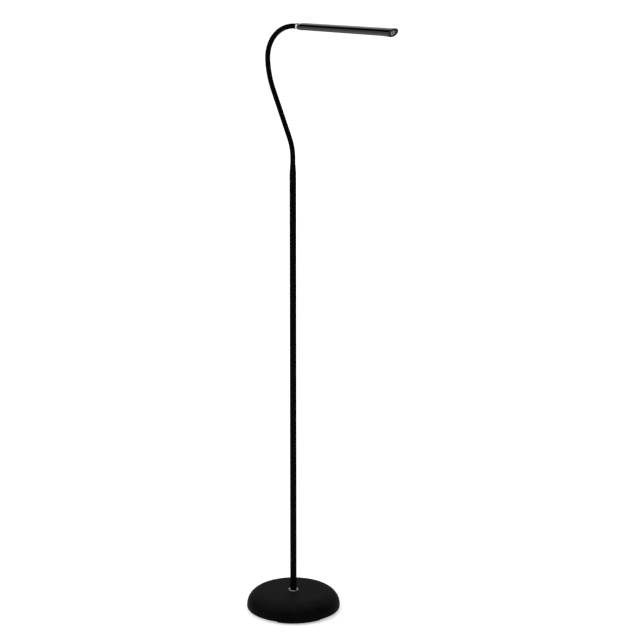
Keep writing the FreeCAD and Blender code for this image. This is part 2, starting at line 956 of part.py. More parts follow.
def rear_cap():
    """The blunt dome that closes the rear of the head and takes the end of the neck."""
    sections = []
    first = size("dome_share")
    power = size("dome_power")
    for index, step in enumerate(DOME_STEPS):
        reach = first + (1 - first) * step
        share = (1 - (1 - reach) ** power) ** (1 / power)
        sections.append(
            oval(
                "rear_cap_oval_%d" % index,
                "rear_half_width * %.6f" % share,
                "rear_half_height * %.6f" % share,
                CAP_START + " + rear_cap_length * %g" % step,
            )
        )
    dome = loft("rear_cap_dome", sections, ruled=False)
    spigot = head_loft(
        "rear_cap_spigot", "shell_wall + seat_gap", BODY_START, BODY_START + " + spigot_length"
    )
    whole = joined("rear_cap_whole", "Part::MultiFuse", [dome, spigot])
    seat = rod(
        "rear_cap_seat",
        "neck_radius - sleeve_wall",
        "core_in_cap + %g + core_gap" % OVERRUN,
        z=CAP_START + " - %g" % OVERRUN,
    )
    passage = rod("rear_cap_passage", "head_lead_radius + lead_gap", "body_length", z=CAP_START)
    on_head("rear_cap", cut("rear_cap", whole, seat, passage))


FACE = FreeCAD.Placement(
    V(0, -size("cap_drop"), size(FACE_PLACE)), FreeCAD.Rotation(V(1, 0, 0), size("face_angle"))
)
FACE_HALF_WIDTH = "front_half_width + cap_flare_width - face_rim"
FACE_HALF_HEIGHT = "front_half_height + cap_flare_height - face_rim"
PAD_FACE = "-pad_recess"
PAD_BACK = "-pad_recess - touch_pad_thick"


def face_oval_bar(name, half_width, half_height, low, high):
    """An oval bar square to the slanted face."""
    back = oval(name + "_low", half_width, half_height, low)
    front = oval(name + "_high", half_width, half_height, high)
    return loft(name, [back, front])


HORN_STEPS = ((0.0, 0.0), (0.35, 0.35), (0.8, 1.0), (1.0, 1.1))  # shares of its length and flare


def front_cap():
    """The flared cap whose slanted face holds the touch sensor."""
    sections = []
    for index, (step, flare) in enumerate(HORN_STEPS):
        sections.append(
            oval(
                "front_cap_oval_%d" % index,
                "front_half_width + cap_flare_width * %g" % flare,
                "front_half_height + cap_flare_height * %g" % flare,
                "%s + (front_cap_length + cap_overrun) * %g" % (BODY_END, step),
                drop="-cap_drop * %g" % flare,
            )
        )
    horn = loft("front_cap_horn", sections, ruled=False)
    spigot = head_loft(
        "front_cap_spigot", "shell_wall + seat_gap", BODY_END + " - spigot_length", BODY_END
    )
    whole = joined("front_cap_whole", "Part::MultiFuse", [horn, spigot])
    beyond = block("front_cap_beyond", "base_radius", "base_radius", "base_radius")
    corner = V(-size("base_radius") / 2, -size("base_radius") / 2, 0)
    beyond.Placement = FACE.multiply(FreeCAD.Placement(corner, FreeCAD.Rotation()))
    recess = face_oval_bar(
        "front_cap_recess", FACE_HALF_WIDTH, FACE_HALF_HEIGHT, PAD_BACK, "%g" % OVERRUN
    )
    recess.Placement = FACE
    cavity = face_oval_bar(
        "front_cap_cavity", "cavity_half_width", "cavity_half_height", "-cavity_depth", PAD_FACE
    )
    cavity.Placement = FACE
    on_head("front_cap", cut("front_cap", whole, beyond, recess, cavity))


def touch_sensor():
    """The touch pad, its bright ring and dark middle, and the board and contact behind them."""
    hole = "touch_ring_radius + fit_gap"
    plate = face_oval_bar(
        "touch_pad_plate",
        FACE_HALF_WIDTH + " - seat_gap",
        FACE_HALF_HEIGHT + " - seat_gap",
        PAD_BACK,
        PAD_FACE,
    )
    middle = rod(
        "touch_pad_hole",
        hole,
        "touch_pad_thick + %g" % (2 * OVERRUN),
        z=PAD_BACK + " - %g" % OVERRUN,
    )
    on_head("touch_pad", cut("touch_pad", plate, middle), FACE)
    ring_inner = "touch_ring_radius - touch_ring_width"
    rise = PAD_FACE + " + touch_ring_rise"
    ring = tube("touch_ring", ring_inner, "touch_ring_radius", PAD_BACK, rise)
    on_head("touch_ring", ring, FACE)
    window = turned(
        "touch_window",
        [
            ("0", PAD_BACK),
            (ring_inner + " - fit_gap", PAD_BACK),
            (ring_inner + " - fit_gap", PAD_FACE + " - touch_ring_rise"),
            ("0", PAD_FACE),
        ],
    )
    on_head("touch_window", window, FACE)
    board = face_oval_bar(
        "touch_board",
        "cavity_half_width - seat_gap",
        "cavity_half_height - seat_gap",
        "-cavity_depth",
        "-cavity_depth + touch_board_thick",
    )
    on_head("touch_board", board, FACE)
    low = size("-cavity_depth + touch_board_thick")
    high = size(PAD_BACK) - size("lead_gap")
    half = (low + high) / 2
    thick = size("contact_thick")
    run = size("touch_ring_radius") + thick
    side = -size("contact_width") / 2
    outline = [
        (run, low),
        (run + thick * 5, low),
        (run + thick * 5, low + thick),
        (run + thick, low + thick),
        (run + thick, half),
        (run + thick * 2, half + thick),
        (run + thick * 2, high - thick),
        (run + thick * 6, high - thick),
        (run + thick * 6, high),
        (run + thick, high),
        (run + thick, half + thick * 1.5),
        (run, half + thick * 0.5),
        (run, low),
    ]
    profile = Part.makePolygon([V(across, side, height) for across, height in outline])
    strip = Part.Face(profile).extrude(V(0, size("contact_width"), 0))
    on_head("touch_contact", shaped("touch_contact", strip), FACE)


def check():
    """Stops if any object of the document failed, or a sub-part isn't sound."""
    doc.recompute()
    for item in doc.Objects:
        if "Invalid" in item.State or "Error" in item.State:
            raise RuntimeError("%s failed: %s" % (item.Name, item.State))
    for label, piece in PARTS.items():
        shape = piece.Shape
        if shape.isNull() or not shape.isValid() or not shape.Solids or shape.Volume <= 0:
            raise RuntimeError(label + " isn't a sound solid")


def write():
    """Writes each sub-part to a STEP file of its own name."""
    os.makedirs("parts", exist_ok=True)
    for label, piece in PARTS.items():
        piece.Shape.exportStep("parts/%s.step" % label)
    print("%d sub-parts" % len(PARTS))


base_cover()
base_plate()
base_weight()
plate_screws()
foot_pads()
cable_bush()
terminal_block()
stud_and_nut()
base_ring()
pole()
neck_ferrule()
supply_lead()
neck()
neck_collar()
head_lead()
rear_cap()
head_shell()
diffuser()
heat_plate()
light_board()
front_cap()
touch_sensor()
check()
write()
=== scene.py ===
"""Looks of a gooseneck reading floor lamp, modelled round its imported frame, in metres, +Z up."""
import math

import bmesh
import bpy
from mathutils import Matrix, Vector


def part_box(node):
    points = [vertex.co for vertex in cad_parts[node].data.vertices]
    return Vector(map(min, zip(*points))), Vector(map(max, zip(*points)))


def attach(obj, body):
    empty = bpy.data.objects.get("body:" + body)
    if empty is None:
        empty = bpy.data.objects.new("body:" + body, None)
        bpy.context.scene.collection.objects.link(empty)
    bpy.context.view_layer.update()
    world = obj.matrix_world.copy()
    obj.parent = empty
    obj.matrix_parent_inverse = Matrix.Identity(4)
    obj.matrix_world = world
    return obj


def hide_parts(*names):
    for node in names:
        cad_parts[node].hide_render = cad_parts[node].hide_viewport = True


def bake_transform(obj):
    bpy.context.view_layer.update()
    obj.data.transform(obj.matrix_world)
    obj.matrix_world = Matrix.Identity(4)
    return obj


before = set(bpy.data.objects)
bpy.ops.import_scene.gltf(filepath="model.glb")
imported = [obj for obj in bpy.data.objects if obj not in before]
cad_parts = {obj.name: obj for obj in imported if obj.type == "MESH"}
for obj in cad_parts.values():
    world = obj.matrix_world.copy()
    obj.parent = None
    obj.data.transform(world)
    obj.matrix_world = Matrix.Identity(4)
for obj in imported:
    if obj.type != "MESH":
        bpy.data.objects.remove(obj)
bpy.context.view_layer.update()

bl_info = {
    "name": "Gooseneck reading lamp",
    "version": (1, 0, 0),
    "blender": (4, 5, 0),
    "location": "View3D > Sidebar > Lamp",
    "description": "Models a floor lamp with a flexible neck and a slim oval head",
    "category": "Object",
}

MM = 0.001
MERGE = 1e-6  # vertices nearer than this are one
CORNER_REACH = 2e-5  # a corner is looked for within this
END_REACH = 1e-4  # a skin may end this far from the centre line
COVER_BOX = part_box("base_cover")
RING_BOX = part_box("base_ring")
POLE_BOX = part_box("pole_lower")

# The neck's centre line: straight runs (length, 0) and bends (radius, degrees, forwards positive).
NECK_LINE = ((13.3, 0), (107, -23.4), (104.4, 0), (176.3, 20.8), (76.4, 88.1), (6.6, 0))
STATION_FIRST = 20
STATION_STEP = 50
STATION_COUNT = 7
FLARE = ((1.5, 5.5), (1.2, 5.75), (1.2, 6.0), (1.1, 6.2))  # steps and radii where the neck meets the head

# Sizes of the base and the head, in millimetres.
RIM_HEIGHT = 5
RIM_ROUNDING = 1.2
HUB_RADIUS = 13
CROWN_RISE = 0.6
STUD_CLEAR = 5.05
INLET_HEIGHT = 13.4
INLET_RADIUS = 3.75
COLLAR = (-1, 3.5)
DOME_POWER = 2.5
DOME_SHARE = 0.075
DOME_RINGS = 16
DOME_CROWDING = 1.6  # above 1, the rings lie closer together at the dome's tip
BODY_PARTS = 6
SEAM = 0.22  # depth and length of the hairline chamfers where two parts of the head meet
SLOT_INSET = 6
SLOT_HALF = 11
SLOT_TOP = 3
DIFFUSER_TOP = 4.6
SEAT_GAP = 0.15
FACE_ANGLE = math.radians(12.5)
FACE_DROP = 0.6
FACE_LENGTH = 18.7
HORN_LENGTH = 25.7
HORN = (
    (0.1, 0.083), (0.175, 0.15), (0.25, 0.227), (0.35, 0.35), (0.5, 0.581),
    (0.65, 0.82), (0.8, 1.0), (0.9, 1.064), (1.0, 1.1),
)  # shares of the horn's length and flare

# The foot ring and the tubes, in millimetres.
RING_GAP = 0.05
RING_EDGE = 0.15
RING_SHOULDER = 1.7
RING_LIP = 0.3
TUBE_WALL = 1
TUBE_SEAM = 0.35
TAPER_RISE = 20  # from the ferrule's shoulder to its top
SPIGOT_GAP = 0.05
SHOULDER_RISE = 0.8
LIP_WIDTH = 0.3

# The rubber pads under the base, and the bush as (radius, place along its axis, rounding).
PAD_EDGE = 8
PAD_WIDTH = 12
PAD_TOP = 5.6
PAD_ROUNDING = 1
PAD_COUNT = 4
PAD_SWEEP = math.radians(60)
BUSH_OUTLINE = [
    (2.3, -4.4, 0.3), (5.2, -4.4, 1), (5.2, -2.2), (3.7, -2.2), (3.7, 0.8), (5.2, 0.8), (5.2, 3.0, 1),
    (2.3, 3.0, 0.4),
]

# The slanted face of the front cap, and what sits in it as (radius, height over the face, rounding).
RIM_WIDTH = 2
RIM_BEVEL = 0.2
RIM_LIKENESS = 0.03  # an edge runs along the rim if its ends are as far out as each other, within this
STRIP_BEVEL = 0.25
TOUCH_BEVEL = 0.2
RECESS_DEPTH = 1.9
PAD_HOLE = 4.75
PAD_SINK = 0.5
PAD_THICKNESS = 1.4
SENSOR_RING = [(3.6, -1.9), (4.7, -1.9), (4.7, -0.15, 0.35), (3.6, -0.15, 0.35)]
SENSOR_WINDOW = [(0, -1.9), (3.55, -1.9), (3.55, -0.85, 0.2), (1.6, -0.6, 0.8), (0, -0.5)]

SMOOTH_ANGLE = math.radians(35)
NECK_STEP = 2 * MM  # length of one ring of the neck's skin
SKIN_SIDES = 48

# Angles up and over the lamp, from the front, where the walls that gloss shows fade out and in.
FRONT_EDGE = (math.radians(72), math.radians(84))
REAR_EDGE = (math.radians(132), math.radians(146))
FLOOR_RADIUS = 60
FLOOR_DROP = 0.0002
FLOOR_PALE = (0.86, 0.86, 0.86, 1)
FLOOR_PALER = (0.87, 0.87, 0.87, 1)
FLOOR_GLOW = 0.36  # added to the floor that the camera and gloss see
FLAG_WAY = (-0.6, 0.8, 0)  # from the lamp, away from the camera
FLAG_REACH = (0.2, 1.2)  # distances over which the floor behind turns dark to gloss
FLAG_DARK = (0.12, 0.12, 0.12, 1)
KEY_BOX = ((-2.6, -3.4, 4.2), 3.2)  # place and side of the large lamps
REAR_BOX = ((-1.8, 3.2, 3.6), 2.6)
AIM = Vector((0, 0, 0.6))
CAMERA_PLACE = (4.21271, -5.59045, 2.82929)
CAMERA_RIGHT = Vector((0.80348, 0.59533, 0))
CAMERA_FORWARD = Vector((-0.56842, 0.76716, -0.29727))
CAMERA_ROLL = 0.001
CAMERA_LENS = 196.18
CAMERA_SENSOR = 36
CAMERA_REACH = 200


def length(name, description, default):
    """A length that a user may change."""
    return bpy.props.FloatProperty(
        name=name, description=description, default=default, min=0.0001, unit="LENGTH", precision=4
    )


def share(name, description, default):
    """A plain number from 0 to 1."""
    return bpy.props.FloatProperty(
        name=name, description=description, default=default, min=0, max=1, subtype="FACTOR"
    )


def level(name, description, default):
    """A light level, 1 being the brightness of white paper."""
    return bpy.props.FloatProperty(name=name, description=description, default=default, min=0)


def tint(name, description, default):
    """A colour in linear light."""
    return bpy.props.FloatVectorProperty(
        name=name, description=description, default=default, size=3, min=0, max=1, subtype="COLOR"
    )


class LampSizes(bpy.types.PropertyGroup):
    """Sizes of the visible pieces."""

    base_radius: length("Base radius", "Outer radius of the base", COVER_BOX[1].x)
    base_height: length("Base height", "Height of the base's edge", COVER_BOX[1].z - CROWN_RISE * MM)
    shoulder: length("Shoulder", "Radius of the rounded shoulder of the base", 31 * MM)
    cover_wall: length("Cover wall", "Thickness of the spun cover", 1.5 * MM)
    ring_radius: length("Ring radius", "Outer radius of the polished foot ring", RING_BOX[1].x)
    ring_height: length("Ring height", "Height of the foot ring", RING_BOX[1].z - RING_BOX[0].z)
    pole_radius: length("Pole radius", "Outer radius of the pole", POLE_BOX[1].x)
    neck_radius: length("Neck radius", "Outer radius of the flexible neck", 5.4 * MM)
    neck_wall: length("Neck wall", "Thickness of the neck's skin", 0.5 * MM)
    collar_radius: length("Collar radius", "Outer radius of the polished collar", 6.5 * MM)
    cap_length: length("Rear cap", "Length of the domed rear cap", 12.5 * MM)
    body_length: length("Head body", "Length of the oval body of the head", 206 * MM)
    rear_width: length("Rear half width", "Half width of the body at the rear", 15.5 * MM)
    rear_height: length("Rear half height", "Half height of the body at the rear", 7.05 * MM)
    front_width: length("Front half width", "Half width of the body at the front", 17 * MM)
    front_height: length("Front half height", "Half height of the body at the front", 7.9 * MM)
    shell_wall: length("Shell wall", "Thickness of the head's shell", 1.5 * MM)
    flare_width: length("Flare width", "How far the front cap widens each side", 1 * MM)
    flare_height: length("Flare height", "How far the front cap rises and falls", 0.9 * MM)


class LampColours(bpy.types.PropertyGroup):
    """Colours and levels of gloss."""

    paint: tint("Paint", "Black paint of the pole and the base", (0.0013, 0.0013, 0.0014))
    paint_worn: tint("Rubbed paint", "Paint where it is rubbed", (0.0024, 0.0024, 0.0026))
    rubber: tint("Rubber", "Rubber of the neck and the pads", (0.0012, 0.0012, 0.0013))
    plastic: tint("Plastic", "Gloss plastic of the head", (0.0018, 0.0018, 0.002))
    metal: tint("Bright metal", "Polished collar and sensor ring", (0.86, 0.86, 0.87))
    smoked: tint("Smoked metal", "Darker plating of the foot ring", (0.26, 0.26, 0.265))
    pad: tint("Touch pad", "Satin metal of the touch pad", (0.06, 0.06, 0.063))
    opal: tint("Opal", "Diffuser under the head", (0.84, 0.84, 0.82))
    pole_gloss: share("Pole roughness", "Mean roughness of the pole's paint", 0.42)
    cover_gloss: share("Base roughness", "Mean roughness of the base's paint", 0.58)


class StageLevels(bpy.types.PropertyGroup):
    """Light levels of the stage."""

    fill: level("Fill", "Brightness of the surroundings that lights the lamp", 0.78)
    front: level("Front wall", "Brightness that gloss shows in front of the lamp", 1.0)
    rear: level("Rear wall", "Brightness that gloss shows behind the lamp", 0.75)
    overhead: level("Overhead", "Brightness that gloss shows above the lamp", 0.0)
    key_power: bpy.props.FloatProperty(
        name="Key lamp", description="Power of the large lamp in front", default=95, unit="POWER"
    )
    rear_power: bpy.props.FloatProperty(
        name="Rear lamp", description="Power of the large lamp behind", default=55, unit="POWER"
    )


# ---------------------------------------------------------------- nodes


def feed(tree, value, socket):
    """Links a socket's output to an input, or sets the input to a constant."""
    if isinstance(value, bpy.types.NodeSocket):
        tree.links.new(value, socket)
    elif value is not None:
        socket.default_value = value


def calc(tree, operation, *values):
    """The output of a Math node."""
    node = tree.nodes.new("ShaderNodeMath")
    node.operation = operation
    for socket, value in zip(node.inputs, values):
        feed(tree, value, socket)
    return node.outputs[0]


def ramp(tree, value, low, high, to_low=0.0, to_high=1.0):
    """A value carried smoothly from one range to another."""
    node = tree.nodes.new("ShaderNodeMapRange")
    node.interpolation_type = "SMOOTHSTEP"
    for name, item in (
        ("Value", value), ("From Min", low), ("From Max", high), ("To Min", to_low), ("To Max", to_high)
    ):
        feed(tree, item, node.inputs[name])
    return node.outputs["Result"]


def noise(tree, vector, scale, detail=4.0, rough=0.5):
    """The value of a noise texture."""
    node = tree.nodes.new("ShaderNodeTexNoise")
    feed(tree, vector, node.inputs["Vector"])
    feed(tree, scale, node.inputs["Scale"])
    node.inputs["Detail"].default_value = detail
    node.inputs["Roughness"].default_value = rough
    return node.outputs["Fac"]


def mix(tree, mask, first, second):
    """A colour between two colours."""
    node = tree.nodes.new("ShaderNodeMix")
    node.data_type = "RGBA"
    feed(tree, mask, node.inputs[0])
    feed(tree, first, node.inputs[6])
    feed(tree, second, node.inputs[7])
    return node.outputs[2]


def stretched(tree, vector, scale, turn=(0, 0, 0)):
    """Coordinates turned and scaled along each axis."""
    node = tree.nodes.new("ShaderNodeMapping")
    feed(tree, vector, node.inputs["Vector"])
    node.inputs["Scale"].default_value = scale
    node.inputs["Rotation"].default_value = turn
    return node.outputs["Vector"]


def new_group(name, inputs, outputs):
    """A shader node group with named sockets, with its first and last node."""
    tree = bpy.data.node_groups.new(name, "ShaderNodeTree")
    for label, kind, value in inputs:
        socket = tree.interface.new_socket(label, in_out="INPUT", socket_type="NodeSocket" + kind)
        if value is not None:
            socket.default_value = value
    for label, kind in outputs:
        tree.interface.new_socket(label, in_out="OUTPUT", socket_type="NodeSocket" + kind)
    return tree, tree.nodes.new("NodeGroupInput").outputs, tree.nodes.new("NodeGroupOutput").inputs


def grain_group():
    """Fine surface grain: a height for the bump and a roughness that wanders."""
    tree, given, made = new_group(
        "Surface grain",
        [
            ("Vector", "Vector", None),
            ("Scale", "Float", 900.0),
            ("Roughness", "Float", 0.4),
            ("Wander", "Float", 0.1),
        ],
        [("Height", "Float"), ("Roughness", "Float")],
    )
    fine = noise(tree, given["Vector"], given["Scale"], 5.0, 0.6)
    broad = noise(tree, given["Vector"], calc(tree, "MULTIPLY", given["Scale"], 0.03), 3.0)
    swing = calc(tree, "MULTIPLY", calc(tree, "SUBTRACT", broad, 0.5), given["Wander"])
    half = calc(tree, "MULTIPLY", given["Wander"], 0.5)
    speck = calc(tree, "MULTIPLY", calc(tree, "SUBTRACT", fine, 0.5), half)
    total = calc(tree, "ADD", given["Roughness"], calc(tree, "ADD", swing, speck))
    feed(tree, fine, made["Height"])
    feed(tree, total, made["Roughness"])
    return tree


def tone_group():
    """A colour that drifts between two tones in soft patches."""
    tree, given, made = new_group(
        "Toned colour",
        [
            ("Vector", "Vector", None),
            ("Scale", "Float", 30.0),
            ("Tone", "Color", (0.5, 0.5, 0.5, 1)),
            ("Second tone", "Color", (0.5, 0.5, 0.5, 1)),
            ("Low", "Float", 0.35),
            ("High", "Float", 0.7),
        ],
        [("Colour", "Color"), ("Mask", "Float")],
    )
    patches = noise(tree, given["Vector"], given["Scale"], 5.0, 0.6)
    mask = ramp(tree, patches, given["Low"], given["High"])
    feed(tree, mix(tree, mask, given["Tone"], given["Second tone"]), made["Colour"])
    feed(tree, mask, made["Mask"])
    return tree


def dust_and_sheen_group():
    """A thin veil of dust on what faces up, which also paints a pale sheen there, standing in for light
    from above.
    """
    tree, given, made = new_group(
        "Settled dust",
        [
            ("Vector", "Vector", None),
            ("Colour", "Color", (0.5, 0.5, 0.5, 1)),
            ("Dust and sheen", "Color", (0.05, 0.05, 0.048, 1)),
            ("Amount", "Float", 0.1),
        ],
        [("Colour", "Color"), ("Mask", "Float")],
    )
    facing = tree.nodes.new("ShaderNodeSeparateXYZ")
    feed(tree, tree.nodes.new("ShaderNodeNewGeometry").outputs["Normal"], facing.inputs[0])
    # painted sheen: faces that look up are made paler, as if lit from above, together with the real dust
    upward = ramp(tree, facing.outputs["Z"], 0.35, 1.0)
    motes = ramp(tree, noise(tree, given["Vector"], 420.0, 6.0, 0.7), 0.42, 0.72)
    veil_and_sheen = calc(tree, "ADD", 0.4, calc(tree, "MULTIPLY", motes, 0.6))
    mask = calc(tree, "MULTIPLY", calc(tree, "MULTIPLY", upward, veil_and_sheen), given["Amount"])
    feed(tree, mix(tree, mask, given["Colour"], given["Dust and sheen"]), made["Colour"])
    feed(tree, mask, made["Mask"])
    return tree


def brushed_group():
    """Fine parallel lines along local Z, as on drawn or brushed metal."""
    tree, given, made = new_group(
        "Brushed lines",
        [("Vector", "Vector", None), ("Scale", "Float", 900.0), ("Roughness", "Float", 0.3)],
        [("Height", "Float"), ("Roughness", "Float")],
    )
    lines = noise(tree, stretched(tree, given["Vector"], (1, 1, 0.012)), given["Scale"], 4.0, 0.7)
    swing = calc(tree, "MULTIPLY", calc(tree, "SUBTRACT", lines, 0.5), 0.25)
    feed(tree, lines, made["Height"])
    feed(tree, calc(tree, "ADD", given["Roughness"], swing), made["Roughness"])
    return tree


def winding_group():
    """The close turns of a wound wire, one above the other."""
    tree, given, made = new_group(
        "Wound turns",
        [("Vector", "Vector", None), ("Turns per metre", "Float", 600.0)],
        [("Height", "Float"), ("Gap", "Float")],
    )
    parts = tree.nodes.new("ShaderNodeSeparateXYZ")
    feed(tree, given["Vector"], parts.inputs[0])
    turns = calc(tree, "MULTIPLY", parts.outputs["Z"], given["Turns per metre"])
    phase = calc(tree, "MULTIPLY", turns, math.pi)
    turn = calc(tree, "ABSOLUTE", calc(tree, "SINE", phase))
    feed(tree, turn, made["Height"])
    feed(tree, ramp(tree, turn, 0.0, 0.45, 1.0, 0.0), made["Gap"])
    return tree


GROUP_MAKERS = {
    "Surface grain": grain_group,
    "Toned colour": tone_group,
    "Settled dust": dust_and_sheen_group,
    "Brushed lines": brushed_group,
    "Wound turns": winding_group,
}


def effect(tree, name, **values):
    """Places a shared node group in a material with its own values, and returns its outputs."""
    node = tree.nodes.new("ShaderNodeGroup")
    node.node_tree = bpy.data.node_groups.get(name) or GROUP_MAKERS[name]()
    for label, value in values.items():
        feed(tree, value, node.inputs[label.replace("_", " ")])
    return node.outputs


def rgba(colour):
    """A colour with full alpha."""
    return (*colour, 1)


def bare_material(name, **constants):
    """A material with its shader, its object coordinates, and constants set on the shader."""
    made = bpy.data.materials.new(name)
    made.use_nodes = True
    tree = made.node_tree
    tree.nodes.clear()
    out = tree.nodes.new("ShaderNodeOutputMaterial")
    shader = tree.nodes.new("ShaderNodeBsdfPrincipled")
    tree.links.new(shader.outputs["BSDF"], out.inputs["Surface"])
    for label, value in constants.items():
        shader.inputs[label.replace("_", " ")].default_value = value
    place = tree.nodes.new("ShaderNodeTexCoord").outputs["Object"]
    return made, tree, shader.inputs, place


def bump(tree, height, socket, strength, distance):
    """A bump from a height to the shader's normal."""
    node = tree.nodes.new("ShaderNodeBump")
    node.inputs["Strength"].default_value = strength
    node.inputs["Distance"].default_value = distance
    feed(tree, height, node.inputs["Height"])
    feed(tree, node.outputs["Normal"], socket)


def toned_material(name, tones, scale, grain, roughness, wander, relief, dust=0.0, **constants):
    """A material of two drifting tones, a fine grain and, where asked, a little dust with a painted sheen
    on the tops.
    """
    made, tree, shader, place = bare_material(name, **constants)
    tone = effect(
        tree, "Toned colour", Vector=place, Scale=scale, Tone=rgba(tones[0]), Second_tone=rgba(tones[1])
    )
    surface = effect(tree, "Surface grain", Vector=place, Scale=grain, Roughness=roughness, Wander=wander)
    colour = tone["Colour"]
    rough = surface["Roughness"]
    # dust with a painted sheen: upward faces are made paler, as if lit from above
    if dust:
        veil_and_sheen = effect(tree, "Settled dust", Vector=place, Colour=colour, Amount=dust)
        colour = veil_and_sheen["Colour"]
        rough = calc(tree, "ADD", rough, calc(tree, "MULTIPLY", veil_and_sheen["Mask"], 0.3))
    feed(tree, colour, shader["Base Color"])
    feed(tree, rough, shader["Roughness"])
    bump(tree, surface["Height"], shader["Normal"], relief, 0.0001)
    return made


def wound_roughness(tree, surface, turns, amount):
    """The grain's roughness, and more of it in the gaps between turns."""
    return calc(tree, "ADD", surface["Roughness"], calc(tree, "MULTIPLY", turns["Gap"], amount))


def neck_rubber():
    """Smooth black rubber of the neck, its turns just showing through."""
    look = bpy.context.scene.lamp_colours
    made, tree, shader, place = bare_material("neck rubber", Specular_IOR_Level=0.012)
    tone = effect(
        tree, "Toned colour", Vector=place, Scale=70.0, Tone=rgba(look.rubber),
        Second_tone=rgba(look.paint_worn),
    )
    surface = effect(tree, "Surface grain", Vector=place, Scale=1500.0, Roughness=0.46, Wander=0.1)
    turns = effect(tree, "Wound turns", Vector=place, Turns_per_metre=480.0)
    feed(tree, tone["Colour"], shader["Base Color"])
    feed(tree, wound_roughness(tree, surface, turns, 0.08), shader["Roughness"])
    bump(tree, surface["Height"], shader["Normal"], 0.2, 0.0001)
    return made


def wound_wire():
    """The wound steel core inside the neck."""
    made, tree, shader, place = bare_material("wound steel", Metallic=1.0)
    turns = effect(tree, "Wound turns", Vector=place, Turns_per_metre=550.0)
    surface = effect(tree, "Surface grain", Vector=place, Scale=1200.0, Roughness=0.33, Wander=0.15)
    # painted shade: the steel is made much darker in the crevices between the turns
    colour = mix(tree, turns["Gap"], (0.42, 0.42, 0.43, 1), (0.09, 0.09, 0.095, 1))
    feed(tree, colour, shader["Base Color"])
    feed(tree, wound_roughness(tree, surface, turns, 0.3), shader["Roughness"])
    bump(tree, turns["Height"], shader["Normal"], 0.8, 0.0004)
    return made


def brushed_aluminium():
    """Drawn aluminium with fine lines along its length."""
    made, tree, shader, place = bare_material("brushed aluminium", Metallic=1.0)
    lengthways = stretched(tree, place, (1, 1, 1), (0, math.pi / 2, 0))
    lines = effect(tree, "Brushed lines", Vector=lengthways, Scale=1400.0, Roughness=0.34)
    tone = effect(
        tree, "Toned colour", Vector=place, Scale=60.0, Tone=(0.66, 0.67, 0.68, 1),
        Second_tone=(0.56, 0.57, 0.58, 1),
    )
    feed(tree, tone["Colour"], shader["Base Color"])
    feed(tree, lines["Roughness"], shader["Roughness"])
    bump(tree, lines["Height"], shader["Normal"], 0.2, 0.0001)
    return made


def shaded(colour, *levels):
    """A colour with its three parts made darker."""
    return tuple(part * level for part, level in zip(colour, levels))


def plain_finishes():
    """The values of every finish that is two tones with a grain."""
    look = bpy.context.scene.lamp_colours
    dull_metal = shaded(look.metal, 0.86, 0.86, 0.86)
    dull_smoked = shaded(look.smoked, 0.86, 0.86, 0.86)
    dull_pad = shaded(look.pad, 0.82, 0.82, 0.82)
    warm_opal = shaded(look.opal, 1.0, 0.985, 0.95)
    return {
        "satin black paint": dict(
            tones=(look.paint, look.paint_worn), scale=55.0, grain=1400.0, roughness=look.pole_gloss,
            wander=0.08, relief=0.12, Specular_IOR_Level=0.012,
        ),
        "matt black powder paint": dict(
            tones=(look.paint, look.paint_worn), scale=38.0, grain=900.0, roughness=look.cover_gloss,
            # this dust also paints the pale sheen on the top of the base: a painted highlight standing in
            # for light from above
            wander=0.1, relief=0.3, dust=0.22, Specular_IOR_Level=0.02,
        ),
        "black rubber": dict(
            tones=(look.rubber, look.paint_worn), scale=60.0, grain=1100.0, roughness=0.68,
            # a trace of dust with its painted sheen on the tops of the pads
            wander=0.12, relief=0.35, dust=0.03, Specular_IOR_Level=0.06,
        ),
        "gloss black plastic": dict(
            tones=(look.plastic, look.paint), scale=26.0, grain=300.0, roughness=0.05,
            wander=0.05, relief=0.02, Specular_IOR_Level=0.5,
        ),
        "polished metal": dict(
            tones=(look.metal, dull_metal), scale=90.0, grain=1200.0, roughness=0.1,
            wander=0.08, relief=0.04, Metallic=1.0,
        ),
        "smoked metal": dict(
            tones=(look.smoked, dull_smoked), scale=90.0, grain=1200.0, roughness=0.15,
            wander=0.08, relief=0.04, Metallic=1.0,
        ),
        "satin metal": dict(
            tones=(look.pad, dull_pad), scale=120.0, grain=2600.0, roughness=0.34,
            wander=0.1, relief=0.3, Metallic=1.0,
        ),
        "opal plastic": dict(
            tones=(look.opal, warm_opal), scale=20.0, grain=700.0, roughness=0.38,
            wander=0.08, relief=0.15,
        ),
        "dark window": dict(
            tones=(look.plastic, look.paint), scale=200.0, grain=900.0, roughness=0.12,
            wander=0.06, relief=0.04,
        ),
        "zinc-plated steel": dict(
            tones=((0.5, 0.51, 0.52), (0.36, 0.37, 0.38)), scale=160.0, grain=1500.0, roughness=0.36,
            wander=0.2, relief=0.25, Metallic=1.0,
        ),
        "cast iron": dict(
            tones=((0.11, 0.108, 0.105), (0.06, 0.057, 0.054)), scale=90.0, grain=420.0, roughness=0.62,
            wander=0.2, relief=0.8, Metallic=0.7,
        ),
        "lead sheath": dict(
            tones=((0.022, 0.022, 0.024), (0.03, 0.03, 0.032)), scale=80.0, grain=900.0, roughness=0.48,
            wander=0.12, relief=0.3,
        ),
        "terminal plastic": dict(
            tones=((0.56, 0.55, 0.51), (0.5, 0.48, 0.44)), scale=70.0, grain=800.0, roughness=0.45,
            wander=0.1, relief=0.3,
        ),
        "circuit board": dict(
            tones=((0.66, 0.67, 0.65), (0.56, 0.59, 0.55)), scale=500.0, grain=1600.0, roughness=0.32,
            wander=0.12, relief=0.3,
        ),
        "light chip": dict(
            tones=((0.78, 0.62, 0.16), (0.82, 0.7, 0.3)), scale=900.0, grain=2000.0, roughness=0.42,
            wander=0.1, relief=0.2,
        ),
    }


OWN_FINISHES = {
    "neck rubber": neck_rubber,
    "wound steel": wound_wire,
    "brushed aluminium": brushed_aluminium,
}

